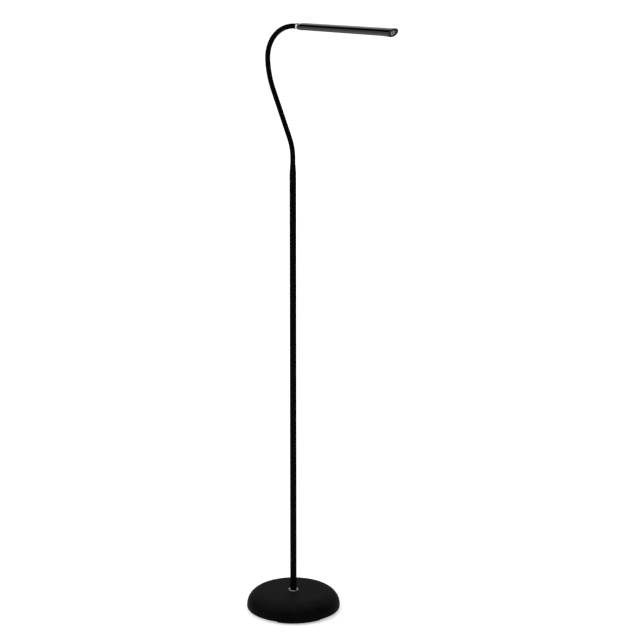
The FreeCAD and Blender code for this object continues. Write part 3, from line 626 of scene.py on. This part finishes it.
# Finishes of the inner parts that aren't zinc-plated steel.
INNER_FINISHES = {
    "base_weight": "cast iron",
    "terminal_block": "terminal plastic",
    "supply_lead": "lead sheath",
    "head_lead": "lead sheath",
    "heat_plate": "brushed aluminium",
    "led_board": "circuit board",
    "led_chips": "light chip",
    "touch_board": "circuit board",
}


def finish_of(name):
    """The material of that name, made when it is first asked for."""
    made = bpy.data.materials.get(name)
    if made:
        return made
    if name in OWN_FINISHES:
        return OWN_FINISHES[name]()
    return toned_material(name, **plain_finishes()[name])


# ---------------------------------------------------------------- modelling


def begin():
    """Leaves edit mode and deselects everything."""
    active = bpy.context.view_layer.objects.active
    if active and active.mode != "OBJECT":
        bpy.ops.object.mode_set(mode="OBJECT")
    bpy.ops.object.select_all(action="DESELECT")


def named(name):
    """The primitive that was just added, under its name."""
    piece = bpy.context.view_layer.objects.active
    piece.name = name
    piece.data.name = name
    return piece


def only(piece):
    """Makes a piece the one that operators act on."""
    begin()
    piece.select_set(True)
    bpy.context.view_layer.objects.active = piece


def edit_all():
    """Goes into edit mode with everything selected."""
    bpy.ops.object.mode_set(mode="EDIT")
    bpy.ops.mesh.select_all(action="SELECT")


def pick_vertices(piece, wanted):
    """Selects the vertices that pass a test, in edit mode, and returns how many did."""
    bpy.ops.mesh.select_mode(type="VERT")
    mesh = bmesh.from_edit_mesh(piece.data)
    for edge in mesh.edges:
        edge.select = False
    for face in mesh.faces:
        face.select = False
    count = 0
    for vertex in mesh.verts:
        vertex.select = wanted(vertex.co)
        count += vertex.select
    mesh.select_flush(True)
    bmesh.update_edit_mesh(piece.data)
    return count


def pick_edges(piece, wanted):
    """Selects the edges that pass a test, in edit mode."""
    bpy.ops.mesh.select_mode(type="EDGE")
    mesh = bmesh.from_edit_mesh(piece.data)
    for item in (*mesh.faces, *mesh.edges, *mesh.verts):
        item.select = False
    for edge in mesh.edges:
        if wanted(edge.verts[0].co, edge.verts[1].co):
            edge.select = True
    mesh.select_flush(True)
    bmesh.update_edit_mesh(piece.data)


def close_up(piece, angle=35):
    """Merges, turns the faces outwards, and shades smooth up to an angle."""
    bpy.ops.mesh.select_mode(type="VERT")
    bpy.ops.mesh.select_all(action="SELECT")
    bpy.ops.mesh.remove_doubles(threshold=MERGE)
    bpy.ops.mesh.normals_make_consistent(inside=False)
    bpy.ops.object.mode_set(mode="OBJECT")
    bpy.ops.object.shade_smooth_by_angle(angle=math.radians(angle))
    return piece


def draw_outline(name, corners):
    """Draws a closed outline in the XZ plane, point by point. A corner is (radius, height) in
    millimetres, and a third number rounds it."""
    begin()
    bpy.ops.mesh.primitive_plane_add(size=MM)
    piece = named(name)
    edit_all()
    bpy.ops.mesh.merge(type="CENTER")
    bpy.ops.transform.translate(value=(corners[0][0] * MM, 0, corners[0][1] * MM))
    for before, after in zip(corners, corners[1:] + corners[:1]):
        step = ((after[0] - before[0]) * MM, 0, (after[1] - before[1]) * MM)
        bpy.ops.mesh.extrude_vertices_move(TRANSFORM_OT_translate={"value": step})
    bpy.ops.mesh.select_all(action="SELECT")
    bpy.ops.mesh.remove_doubles(threshold=MERGE)
    for corner in corners:
        if len(corner) == 2:
            continue
        spot = Vector((corner[0] * MM, 0, corner[1] * MM))
        if pick_vertices(piece, lambda co: (co - spot).length < CORNER_REACH) != 1:
            raise RuntimeError("a corner of %s wasn't found" % name)
        steps = max(3, min(28, int(corner[2] * 1.2)))
        bpy.ops.mesh.bevel(offset=corner[2] * MM, segments=steps, affect="VERTICES", profile=0.5)
    bpy.ops.mesh.select_all(action="SELECT")
    return piece


def turned(name, corners, steps=96, angle=35):
    """A closed ring-shaped piece: an outline spun round Z."""
    piece = draw_outline(name, corners)
    bpy.ops.mesh.spin(steps=steps, angle=2 * math.pi, center=(0, 0, 0), axis=(0, 0, 1))
    return close_up(piece, angle)


def oval_form(name, rings, count=128, closed=True):
    """A form through oval rings along Z: (height, half width, half height, drop), in metres."""
    begin()
    z, wide, high, drop = rings[0]
    bpy.ops.mesh.primitive_circle_add(vertices=count, radius=1, fill_type="NOTHING", location=(0, 0, 0))
    piece = named(name)
    edit_all()
    bpy.ops.transform.resize(value=(wide, high, 1), center_override=(0, 0, 0))
    bpy.ops.transform.translate(value=(0, drop, z))
    if closed:
        bpy.ops.mesh.edge_face_add()
        pick_edges(piece, lambda a, b: True)
    for before, after in zip(rings, rings[1:]):
        bpy.ops.mesh.extrude_edges_move(
            TRANSFORM_OT_translate={"value": (0, after[3] - before[3], after[0] - before[0])}
        )
        bpy.ops.transform.resize(
            value=(after[1] / before[1], after[2] / before[2], 1), center_override=(0, after[3], after[0])
        )
    if closed:
        bpy.ops.mesh.edge_face_add()
    return piece


def apply_modifier(piece, kind, **values):
    """Adds a modifier with its values and applies it."""
    only(piece)
    modifier = piece.modifiers.new(kind.lower(), kind)
    for label, value in values.items():
        setattr(modifier, label, value)
    bpy.ops.object.modifier_apply(modifier=modifier.name)


def soften(piece, width):
    """Bevels the sharp edges of a piece by a width in millimetres."""
    apply_modifier(
        piece, "BEVEL", width=width * MM, segments=2, limit_method="ANGLE", angle_limit=math.radians(50)
    )
    bpy.ops.object.shade_smooth_by_angle(angle=SMOOTH_ANGLE)
    return piece


def carve(piece, cutter):
    """Takes a cutter away from a piece."""
    apply_modifier(piece, "BOOLEAN", operation="DIFFERENCE", solver="EXACT", object=cutter)
    bpy.data.objects.remove(cutter)


def settle(piece, place):
    """Puts a piece in its place, into its mesh."""
    only(piece)
    piece.matrix_world = place
    bpy.ops.object.transform_apply(location=True, rotation=True, scale=True)
    return piece


def dress(piece, finish):
    """Gives a piece its finish."""
    piece.data.materials.clear()
    piece.data.materials.append(finish_of(finish))
    return piece


def neck_runs():
    """The neck's stretches as (length, turn in radians, bend radius), in metres."""
    runs = []
    for amount, turn in NECK_LINE:
        if turn:
            runs.append((amount * MM * abs(math.radians(turn)), math.radians(turn), amount * MM))
        else:
            runs.append((amount * MM, 0.0, None))
    return runs


NECK_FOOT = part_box("neck_ferrule")[1].z
NECK_LENGTH = sum(run[0] for run in neck_runs())


def heading(lean):
    """The direction of a line that leans forwards by an angle."""
    return Vector((math.sin(lean), 0, math.cos(lean)))


def along(place):
    """The point of the neck's centre line at a distance from its foot, and its lean."""
    point = Vector((0, 0, NECK_FOOT))
    lean = 0.0
    left = place
    for run, turn, _ in neck_runs():
        part = min(left, run)
        if turn:
            swing = turn * part / run
            point += heading(lean + swing / 2) * (2 * run / turn * math.sin(swing / 2))
            lean += swing
        else:
            point += heading(lean) * part
        left -= part
        if left <= 0:
            break
    return point + heading(lean) * left, lean


END, END_LEAN = along(NECK_LENGTH)
FORWARD = heading(END_LEAN)
UPWARD = Vector((-FORWARD.z, 0, FORWARD.x))
HEAD = Matrix.Translation(END) @ Matrix((Vector((0, 1, 0)), UPWARD, FORWARD)).transposed().to_4x4()


def face_place():
    """The place of the slanted face of the front cap, its outward direction being Z."""
    size = bpy.context.scene.lamp_sizes
    start = COLLAR[1] * MM + size.cap_length + size.body_length
    middle = Vector((0, -FACE_DROP * MM, start + FACE_LENGTH * MM))
    return Matrix.Translation(middle) @ Matrix.Rotation(FACE_ANGLE, 4, "X")


# ---------------------------------------------------------------- operators


class LAMP_OT_stage(bpy.types.Operator):
    """Floor, surroundings, lamps and camera"""

    bl_idname = "lamp.stage"
    bl_label = "Stage"

    def execute(self, context):
        context.scene.view_settings.view_transform = "Standard"
        self.surroundings(context)
        self.floor()
        levels = context.scene.stage_levels
        self.softbox("key softbox", *KEY_BOX, levels.key_power)
        self.softbox("rear softbox", *REAR_BOX, levels.rear_power)
        self.camera(context)
        return {"FINISHED"}

    def surroundings(self, context):
        """White to the camera; to gloss, two pale walls with a dark band between them overhead."""
        levels = context.scene.stage_levels
        world = bpy.data.worlds.new("studio")
        context.scene.world = world
        world.use_nodes = True
        tree = world.node_tree
        tree.nodes.clear()
        out = tree.nodes.new("ShaderNodeOutputWorld")
        light = tree.nodes.new("ShaderNodeBackground")
        tree.links.new(light.outputs[0], out.inputs["Surface"])
        ray = tree.nodes.new("ShaderNodeLightPath").outputs
        way = tree.nodes.new("ShaderNodeSeparateXYZ")
        feed(tree, tree.nodes.new("ShaderNodeTexCoord").outputs["Generated"], way.inputs[0])
        turn = calc(tree, "ARCTAN2", way.outputs["Z"], calc(tree, "MULTIPLY", way.outputs["Y"], -1.0))
        past_front = ramp(tree, turn, *FRONT_EDGE)
        past_top = ramp(tree, turn, *REAR_EDGE)
        front = calc(tree, "MULTIPLY", calc(tree, "SUBTRACT", 1.0, past_front), levels.front)
        rear = calc(tree, "MULTIPLY", past_top, levels.rear)
        band = calc(tree, "MULTIPLY", calc(tree, "SUBTRACT", past_front, past_top), levels.overhead)
        walls = calc(tree, "ADD", calc(tree, "ADD", front, rear), band)
        mirror = calc(tree, "MAXIMUM", ray["Is Glossy Ray"], ray["Is Transmission Ray"])
        lit = calc(tree, "MULTIPLY", calc(tree, "SUBTRACT", 1.0, mirror), levels.fill)
        unseen = calc(tree, "ADD", calc(tree, "MULTIPLY", mirror, walls), lit)
        rest = calc(tree, "MULTIPLY", unseen, calc(tree, "SUBTRACT", 1.0, ray["Is Camera Ray"]))
        feed(tree, calc(tree, "ADD", rest, ray["Is Camera Ray"]), light.inputs["Strength"])
        light.inputs["Color"].default_value = (1, 1, 1, 1)

    def floor(self):
        """A wide pale floor that keeps the lamp's shadow, and is dark behind the lamp to gloss."""
        begin()
        bpy.ops.mesh.primitive_circle_add(
            vertices=96, radius=FLOOR_RADIUS, fill_type="NGON", location=(0, 0, -FLOOR_DROP)
        )
        floor = named("studio_floor")
        made, tree, shader, place = bare_material("pale floor", Specular_IOR_Level=0.0)
        tone = effect(
            tree, "Toned colour", Vector=place, Scale=3.0, Tone=FLOOR_PALE, Second_tone=FLOOR_PALER
        )
        ray = tree.nodes.new("ShaderNodeLightPath").outputs
        behind = tree.nodes.new("ShaderNodeVectorMath")
        behind.operation = "DOT_PRODUCT"
        feed(tree, place, behind.inputs[0])
        behind.inputs[1].default_value = FLAG_WAY
        past = ramp(tree, behind.outputs["Value"], *FLAG_REACH)
        flag = calc(tree, "MULTIPLY", ray["Is Glossy Ray"], past)
        feed(tree, mix(tree, flag, tone["Colour"], FLAG_DARK), shader["Base Color"])
        shader["Roughness"].default_value = 0.9
        mirrored = calc(tree, "MAXIMUM", ray["Is Glossy Ray"], ray["Is Transmission Ray"])
        seen = calc(tree, "MAXIMUM", ray["Is Camera Ray"], mirrored)
        lit = calc(tree, "MULTIPLY", seen, calc(tree, "SUBTRACT", 1.0, flag))
        shader["Emission Color"].default_value = (1, 1, 1, 1)
        feed(tree, calc(tree, "MULTIPLY", lit, FLOOR_GLOW), shader["Emission Strength"])
        floor.data.materials.append(made)

    def softbox(self, name, place, side, power):
        """A large square lamp that faces the middle of the lamp and isn't mirrored in it."""
        light = bpy.data.lights.new(name, "AREA")
        light.shape = "SQUARE"
        light.size = side
        light.energy = power
        item = bpy.data.objects.new(name, light)
        item.location = place
        item.rotation_euler = (AIM - Vector(place)).to_track_quat("-Z", "Y").to_euler()
        item.visible_glossy = False
        item.visible_camera = False
        bpy.context.scene.collection.objects.link(item)

    def camera(self, context):
        """The camera of the photograph, far off at the front right and above the head."""
        data = bpy.data.cameras.new("camera")
        data.sensor_width = CAMERA_SENSOR
        data.lens = CAMERA_LENS
        data.clip_end = CAMERA_REACH
        item = bpy.data.objects.new("camera", data)
        upward = CAMERA_RIGHT.cross(CAMERA_FORWARD)
        turn = Matrix((CAMERA_RIGHT, upward, -CAMERA_FORWARD)).transposed().to_4x4()
        roll = Matrix.Rotation(CAMERA_ROLL, 4, "Z")
        item.matrix_world = Matrix.Translation(CAMERA_PLACE) @ turn @ roll
        context.scene.collection.objects.link(item)
        context.scene.camera = item


class LAMP_OT_base(bpy.types.Operator):
    """Domed cover of the base, its four pads and its cable bush"""

    bl_idname = "lamp.base"
    bl_label = "Base"

    def execute(self, context):
        size = context.scene.lamp_sizes
        self.cover(size)
        self.pads(size)
        self.bush(size)
        return {"FINISHED"}

    def cover(self, size):
        """The spun cover, with a round hole for the bush."""
        outer = size.base_radius / MM
        inner = outer - size.cover_wall / MM
        top = size.base_height / MM
        under = top - size.cover_wall / MM
        bend = size.shoulder / MM
        crown = top + CROWN_RISE
        cover = turned(
            "domed_cover",
            [
                (inner, RIM_HEIGHT),
                (outer, RIM_HEIGHT, RIM_ROUNDING),
                (outer, top, bend),
                (HUB_RADIUS, crown),
                (STUD_CLEAR, crown),
                (STUD_CLEAR, crown - size.cover_wall / MM),
                (HUB_RADIUS, crown - size.cover_wall / MM),
                (inner, under, bend - size.cover_wall / MM),
            ],
            steps=144,
        )
        begin()
        bpy.ops.mesh.primitive_cylinder_add(
            vertices=48,
            radius=INLET_RADIUS * MM,
            depth=20 * MM,
            location=(-size.base_radius, 0, INLET_HEIGHT * MM),
            rotation=(0, math.pi / 2, 0),
        )
        carve(cover, named("inlet_cutter"))
        bpy.ops.object.shade_smooth_by_angle(angle=SMOOTH_ANGLE)
        dress(cover, "matt black powder paint")
        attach(cover, "stand")
        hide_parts("base_cover")

    def pads(self, size):
        """One bowed rubber strip, copied round the base."""
        outer = size.base_radius / MM - PAD_EDGE
        inner = outer - PAD_WIDTH
        pad = draw_outline(
            "floor_pad_1",
            [(inner, PAD_TOP), (inner, 0, PAD_ROUNDING), (outer, 0, PAD_ROUNDING), (outer, PAD_TOP)],
        )
        bpy.ops.mesh.spin(steps=24, angle=PAD_SWEEP, center=(0, 0, 0), axis=(0, 0, 1))
        bpy.ops.mesh.select_mode(type="VERT")
        bpy.ops.mesh.select_all(action="SELECT")
        bpy.ops.mesh.remove_doubles(threshold=MERGE)
        bpy.ops.mesh.fill_holes(sides=0)
        close_up(pad, 40)
        middle = sum((vertex.co for vertex in pad.data.vertices), Vector()) / len(pad.data.vertices)
        settle(pad, Matrix.Rotation(math.pi / PAD_COUNT - math.atan2(middle.y, middle.x), 4, "Z"))
        pads = [pad]
        for index in range(1, PAD_COUNT):
            copy = pad.copy()
            copy.data = pad.data.copy()
            copy.name = "floor_pad_%d" % (index + 1)
            bpy.context.scene.collection.objects.link(copy)
            pads.append(settle(copy, Matrix.Rotation(2 * math.pi / PAD_COUNT * index, 4, "Z")))
        for copy in pads:
            dress(copy, "black rubber")
            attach(copy, "stand")
            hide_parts("foot_pads")

    def bush(self, size):
        """The rubber bush in the cover's wall, its bore open."""
        bush = turned("inlet_bush", BUSH_OUTLINE, steps=64)
        spot = Matrix.Translation((-(size.base_radius - size.cover_wall / 2), 0, INLET_HEIGHT * MM))
        settle(bush, spot @ Matrix.Rotation(-math.pi / 2, 4, "Y"))
        dress(bush, "black rubber")
        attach(bush, "stand")
        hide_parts("cable_bush")


class LAMP_OT_pole(bpy.types.Operator):
    """Foot ring, the three tubes of the pole and the ferrule above them"""

    bl_idname = "lamp.pole"
    bl_label = "Pole"

    def execute(self, context):
        size = context.scene.lamp_sizes
        radius = size.pole_radius / MM
        low = RING_BOX[0].z / MM
        wide = size.ring_radius / MM
        high = low + size.ring_height / MM
        inner = radius + RING_GAP
        ring = turned(
            "foot_ring",
            [(inner, low), (wide, low, RING_EDGE), (wide, high, RING_SHOULDER), (inner, high, RING_LIP)],
        )
        dress(ring, "smoked metal")
        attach(ring, "stand")
        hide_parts("base_ring")
        for index, node in enumerate(("pole_lower", "pole_middle", "pole_upper")):
            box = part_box(node)
            foot = box[0].z / MM
            head = box[1].z / MM
            inner = radius - TUBE_WALL
            tube = turned(
                "pole_tube_%d" % (index + 1),
                [(inner, foot), (radius, foot, TUBE_SEAM), (radius, head, TUBE_SEAM), (inner, head)],
                steps=64,
            )
            dress(tube, "satin black paint")
            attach(tube, "stand")
            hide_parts(node)
        self.ferrule(size, radius)
        return {"FINISHED"}

    def ferrule(self, size, radius):
        """The short taper from the pole to the neck."""
        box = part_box("neck_ferrule")
        top = box[1].z / MM
        foot = box[0].z / MM
        shoulder = top - TAPER_RISE
        bore = size.neck_radius / MM - 1
        spigot = radius - TUBE_WALL - SPIGOT_GAP
        ferrule = turned(
            "neck_root",
            [
                (bore, foot), (spigot, foot, 0.3), (spigot, shoulder), (radius, shoulder, 0.25),
                (radius, shoulder + SHOULDER_RISE, 0.5), (size.neck_radius / MM + LIP_WIDTH, top, 0.25),
                (bore, top),
            ],
            steps=64,
            angle=25,
        )
        dress(ferrule, "satin black paint")
        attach(ferrule, "stand")
        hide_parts("neck_ferrule")


class LAMP_OT_neck(bpy.types.Operator):
    """The flexible neck, as seven skins along its centre line"""

    bl_idname = "lamp.neck"
    bl_label = "Neck"

    def execute(self, context):
        size = context.scene.lamp_sizes
        stations = [(STATION_FIRST + STATION_STEP * index) * MM for index in range(STATION_COUNT)]
        ends = [0.0] + [(a + b) / 2 for a, b in zip(stations, stations[1:])]
        ends.append(NECK_LENGTH + COLLAR[0] * MM)
        for index, station in enumerate(stations):
            last = index == STATION_COUNT - 1
            skin = self.skin("neck_skin_%d" % (index + 1), ends[index], ends[index + 1], last, size)
            dress(skin, "neck rubber")
            point, lean = along(station)
            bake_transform(skin)
            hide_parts("neck_sleeve_%d" % (index + 1))
            if index == 0:
                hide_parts("neck_sleeve_0")
        return {"FINISHED"}

    def skin(self, name, low, high, last, size):
        """A round skin along the centre line between two distances."""
        begin()
        point, lean = along(low)
        bpy.ops.mesh.primitive_circle_add(
            vertices=SKIN_SIDES,
            radius=size.neck_radius,
            fill_type="NOTHING",
            location=point,
            rotation=(0, lean, 0),
        )
        piece = named(name)
        bpy.ops.object.transform_apply(location=True, rotation=True, scale=True)
        edit_all()
        flare = sum(step for step, radius in FLARE) * MM if last else 0.0
        mark = 0.0
        for run, turn, bend in neck_runs():
            a = max(low, mark)
            b = min(high - flare, mark + run)
            mark += run
            if b - a < MERGE:
                continue
            start, lean = along(a)
            steps = max(1, round((b - a) / NECK_STEP))
            if not turn:
                for _ in range(steps):
                    bpy.ops.mesh.extrude_edges_move(
                        TRANSFORM_OT_translate={"value": heading(lean) * ((b - a) / steps)}
                    )
                continue
            side = 1 if turn > 0 else -1
            centre = start + Vector((math.cos(lean), 0, -math.sin(lean))) * bend * side
            sweep = -side * (b - a) / bend
            bpy.ops.mesh.spin(
                steps=steps, angle=sweep, center=centre, axis=(0, 1, 0), use_auto_merge=False
            )
        if last:
            place = high - flare
            before = size.neck_radius / MM
            for step, radius in FLARE:
                point, lean = along(place)
                ahead = heading(lean) * step * MM
                bpy.ops.mesh.extrude_edges_move(TRANSFORM_OT_translate={"value": ahead})
                place += step * MM
                grow = radius / before
                bpy.ops.transform.resize(value=(grow, grow, grow), center_override=along(place)[0])
                before = radius
        self.check_end(piece, high)
        close_up(piece, 60)
        apply_modifier(piece, "SOLIDIFY", thickness=size.neck_wall, offset=-1, use_even_offset=True)
        edit_all()
        return close_up(piece, 60)

    def check_end(self, piece, high):
        """Stops if the skin doesn't end on the centre line."""
        mesh = bmesh.from_edit_mesh(piece.data)
        ring = [vertex.co for vertex in mesh.verts if vertex.select]
        middle = sum(ring, Vector()) / len(ring)
        if (middle - along(high)[0]).length > END_REACH:
            raise RuntimeError("%s ends at %s instead of %s" % (piece.name, middle, along(high)[0]))


class LAMP_OT_head(bpy.types.Operator):
    """Collar, rear cap, oval body, diffuser and front cap of the head"""

    bl_idname = "lamp.head"
    bl_label = "Head"

    def execute(self, context):
        size = context.scene.lamp_sizes
        self.start = COLLAR[1] * MM
        self.seam = SEAM * MM
        self.body_low = self.start + size.cap_length
        self.body_high = self.body_low + size.body_length
        for piece, finish, slot, node in (
            (self.collar(size), "polished metal", "chrome", "neck_collar"),
            (self.rear_cap(size), "gloss black plastic", "gloss_black_plastic", "rear_cap"),
            (self.body(size), "gloss black plastic", "gloss_black_plastic", "head_shell"),
            (self.diffuser(size), "opal plastic", "opal_plastic", "diffuser"),
            (self.front_cap(size), "gloss black plastic", "gloss_black_plastic", "front_cap"),
        ):
            settle(piece, HEAD)
            dress(piece, finish)
            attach(piece, "head")
            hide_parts(node)
        return {"FINISHED"}

    def oval(self, size, place, shrink=0.0):
        """The body's oval at a distance along the head."""
        part = (place - self.body_low) / size.body_length
        wide = size.rear_width + (size.front_width - size.rear_width) * part
        high = size.rear_height + (size.front_height - size.rear_height) * part
        return (place, wide - shrink, high - shrink, 0.0)

    def collar(self, size):
        """The polished collar round the end of the neck."""
        bore = size.neck_radius / MM - 1
        outer = size.collar_radius / MM
        return turned(
            "head_collar",
            [(bore, COLLAR[0]), (outer, COLLAR[0], 0.5), (outer, COLLAR[1], 0.5), (bore, COLLAR[1])],
            steps=64,
        )

    def rear_cap(self, size):
        """A blunt dome, rounded fuller than a half ball."""
        rings = []
        for index in range(DOME_RINGS + 1):
            part = (index / DOME_RINGS) ** DOME_CROWDING
            reach = DOME_SHARE + (1 - DOME_SHARE) * part
            fullness = (1 - (1 - reach) ** DOME_POWER) ** (1 / DOME_POWER)
            place = self.start + (size.cap_length - self.seam) * part
            rings.append((place, size.rear_width * fullness, size.rear_height * fullness, 0.0))
        rings.append(self.oval(size, self.body_low, self.seam))
        cap = oval_form("head_rear_dome", rings)
        return close_up(cap, 40)

    def body(self, size):
        """The oval shell with its slot below."""
        rings = [
            self.oval(size, self.body_low, self.seam),
            self.oval(size, self.body_low + self.seam),
            *[
                self.oval(size, self.body_low + size.body_length * step / BODY_PARTS)
                for step in range(1, BODY_PARTS)
            ],
            self.oval(size, self.body_high - self.seam),
            self.oval(size, self.body_high, self.seam),
        ]
        shell = oval_form("head_body", rings, closed=False)
        close_up(shell)
        apply_modifier(shell, "SOLIDIFY", thickness=size.shell_wall, offset=-1, use_even_offset=True)
        begin()
        low = self.body_low + SLOT_INSET * MM
        high = self.body_high - SLOT_INSET * MM
        tall = size.front_height
        bpy.ops.mesh.primitive_cube_add(
            size=1,
            location=(0, -SLOT_TOP * MM - tall / 2, (low + high) / 2),
            scale=(SLOT_HALF * 2 * MM, tall, high - low),
        )
        carve(shell, named("slot_cutter"))
        bpy.ops.object.shade_smooth_by_angle(angle=SMOOTH_ANGLE)
        return shell

    def diffuser(self, size):
        """The opal strip, flush with the underside."""
        ends = [self.oval(size, self.body_low), self.oval(size, self.body_high)]
        strip = oval_form("light_diffuser", ends)
        half = (SLOT_HALF - SEAT_GAP) * MM
        low = self.body_low + (SLOT_INSET + SEAT_GAP) * MM
        high = self.body_high - (SLOT_INSET + SEAT_GAP) * MM
        for spot, way in (
            ((half, 0, 0), (1, 0, 0)),
            ((-half, 0, 0), (-1, 0, 0)),
            ((0, -DIFFUSER_TOP * MM, 0), (0, 1, 0)),
            ((0, 0, low), (0, 0, -1)),
            ((0, 0, high), (0, 0, 1)),
        ):
            bpy.ops.mesh.select_all(action="SELECT")
            bpy.ops.mesh.bisect(plane_co=spot, plane_no=way, use_fill=True, clear_outer=True)
        close_up(strip)
        return soften(strip, STRIP_BEVEL)

    def front_cap(self, size):
        """The flared cap, cut square to its slanted face, with a rim and a recess."""
        place = self.body_high
        rings = [
            self.oval(size, place, self.seam),
            (place + self.seam, size.front_width, size.front_height, 0.0),
        ]
        for step, flare in HORN:
            rings.append(
                (
                    place + HORN_LENGTH * MM * step,
                    size.front_width + size.flare_width * flare,
                    size.front_height + size.flare_height * flare,
                    -FACE_DROP * MM * flare,
                )
            )
        cap = oval_form("head_front_cap", rings)
        face = face_place()
        middle = face.translation
        out = face.col[2].xyz
        bpy.ops.mesh.select_all(action="SELECT")
        bpy.ops.mesh.bisect(plane_co=middle, plane_no=out, use_fill=False, clear_outer=True)
        pick_edges(cap, lambda a, b: max(abs((co - middle).dot(out)) for co in (a, b)) < MERGE)
        recess_width = size.front_width + size.flare_width - RIM_WIDTH * MM
        recess_height = size.front_height + size.flare_height - RIM_WIDTH * MM
        inverse = face.inverted()
        mesh = bmesh.from_edit_mesh(cap.data)
        rim = [inverse @ vertex.co for vertex in mesh.verts if vertex.select]
        wide = (max(co.x for co in rim) - min(co.x for co in rim)) / 2
        high = (max(co.y for co in rim) - min(co.y for co in rim)) / 2
        shift = (max(co.y for co in rim) + min(co.y for co in rim)) / 2
        grow = (recess_width / wide, recess_height / high, recess_height / high)
        bpy.ops.mesh.extrude_edges_move(TRANSFORM_OT_translate={"value": face.col[1].xyz * -shift})
        bpy.ops.transform.resize(value=grow, center_override=middle)
        bpy.ops.mesh.extrude_edges_move(TRANSFORM_OT_translate={"value": out * -RECESS_DEPTH * MM})
        bpy.ops.mesh.edge_face_add()
        close_up(cap)
        bpy.ops.object.mode_set(mode="EDIT")

        def on_rim(a, b):
            """An edge of the rim's outer or inner outline."""
            a, b = inverse @ a, inverse @ b
            if max(abs(a.z), abs(b.z)) > MERGE:
                return False
            sizes = [math.hypot(co.x / wide, co.y / high) for co in (a, b)]
            return abs(sizes[0] - sizes[1]) < RIM_LIKENESS

        pick_edges(cap, on_rim)
        bpy.ops.mesh.bevel(offset=RIM_BEVEL * MM, segments=4, affect="EDGES")
        return close_up(cap, 40)


class LAMP_OT_sensor(bpy.types.Operator):
    """Touch pad in the slanted face, its bright ring and dark window"""

    bl_idname = "lamp.sensor"
    bl_label = "Touch sensor"

    def execute(self, context):
        size = context.scene.lamp_sizes
        place = HEAD @ face_place()
        for piece, finish, slot, node in (
            (self.pad(size), "satin metal", "satin_metal", "touch_pad"),
            (self.ring(), "polished metal", "chrome", "touch_ring"),
            (self.window(), "dark window", "gloss_black_plastic", "touch_window"),
        ):
            settle(piece, place)
            dress(piece, finish)
            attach(piece, "head")
            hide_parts(node)
        return {"FINISHED"}

    def pad(self, size):
        """An oval plate with a round hole."""
        begin()
        hole = PAD_HOLE * MM
        wide = size.front_width + size.flare_width - (RIM_WIDTH + SEAT_GAP) * MM
        high = size.front_height + size.flare_height - (RIM_WIDTH + SEAT_GAP) * MM
        top = -PAD_SINK * MM
        thick = PAD_THICKNESS * MM
        bpy.ops.mesh.primitive_circle_add(vertices=96, radius=hole, fill_type="NOTHING")
        pad = named("sensor_pad")
        edit_all()
        bpy.ops.transform.translate(value=(0, 0, top))
        wider = (wide / hole, high / hole, 1)
        narrower = (hole / wide, hole / high, 1)
        for grow, sink in ((wider, -thick), (narrower, thick)):
            bpy.ops.mesh.extrude_edges_move(TRANSFORM_OT_translate={"value": (0, 0, 0)})
            bpy.ops.transform.resize(value=grow, center_override=(0, 0, 0))
            bpy.ops.mesh.extrude_edges_move(TRANSFORM_OT_translate={"value": (0, 0, sink)})
        close_up(pad)
        return soften(pad, TOUCH_BEVEL)

    def ring(self):
        """The bright ring, standing a little proud."""
        return turned("sensor_ring", SENSOR_RING, steps=64)

    def window(self):
        """The dark window, slightly domed."""
        return turned("sensor_window", SENSOR_WINDOW, steps=64)


class LAMP_OT_inner_parts(bpy.types.Operator):
    """Finishes of the parts inside and below, whose shapes come with the frame"""

    bl_idname = "lamp.inner_parts"
    bl_label = "Inner parts"

    def execute(self, context):
        for name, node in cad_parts.items():
            if node.hide_render:
                continue
            finish = INNER_FINISHES.get(name, "zinc-plated steel")
            if name.startswith("neck_core"):
                finish = "wound steel"
            node.data.materials.clear()
            node.data.materials.append(finish_of(finish))
        return {"FINISHED"}


OPERATORS = (
    LAMP_OT_stage,
    LAMP_OT_base,
    LAMP_OT_pole,
    LAMP_OT_neck,
    LAMP_OT_head,
    LAMP_OT_sensor,
    LAMP_OT_inner_parts,
)


class LAMP_PT_pieces(bpy.types.Panel):
    """Pieces of the lamp and their sizes"""

    bl_idname = "LAMP_PT_pieces"
    bl_label = "Reading lamp"
    bl_space_type = "VIEW_3D"
    bl_region_type = "UI"
    bl_category = "Lamp"

    def draw(self, context):
        layout = self.layout
        for item in OPERATORS:
            layout.operator(item.bl_idname)
        for group in (context.scene.lamp_sizes, context.scene.lamp_colours, context.scene.stage_levels):
            box = layout.box()
            for name in group.__annotations__:
                box.prop(group, name)


CLASSES = (LampSizes, LampColours, StageLevels, *OPERATORS, LAMP_PT_pieces)


def register():
    """Adds the classes and the lamp's properties."""
    for item in CLASSES:
        bpy.utils.register_class(item)
    bpy.types.Scene.lamp_sizes = bpy.props.PointerProperty(type=LampSizes)
    bpy.types.Scene.lamp_colours = bpy.props.PointerProperty(type=LampColours)
    bpy.types.Scene.stage_levels = bpy.props.PointerProperty(type=StageLevels)


def unregister():
    """Takes them away again."""
    del bpy.types.Scene.stage_levels
    del bpy.types.Scene.lamp_colours
    del bpy.types.Scene.lamp_sizes
    for item in reversed(CLASSES):
        bpy.utils.unregister_class(item)


def main():
    """Registers the add-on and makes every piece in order."""
    register()
    bpy.ops.object.select_all(action="DESELECT")
    bpy.ops.lamp.stage()
    bpy.ops.lamp.base()
    bpy.ops.lamp.pole()
    bpy.ops.lamp.neck()
    bpy.ops.lamp.head()
    bpy.ops.lamp.sensor()
    bpy.ops.lamp.inner_parts()
    begin()


if __name__ == "__main__":
    main()
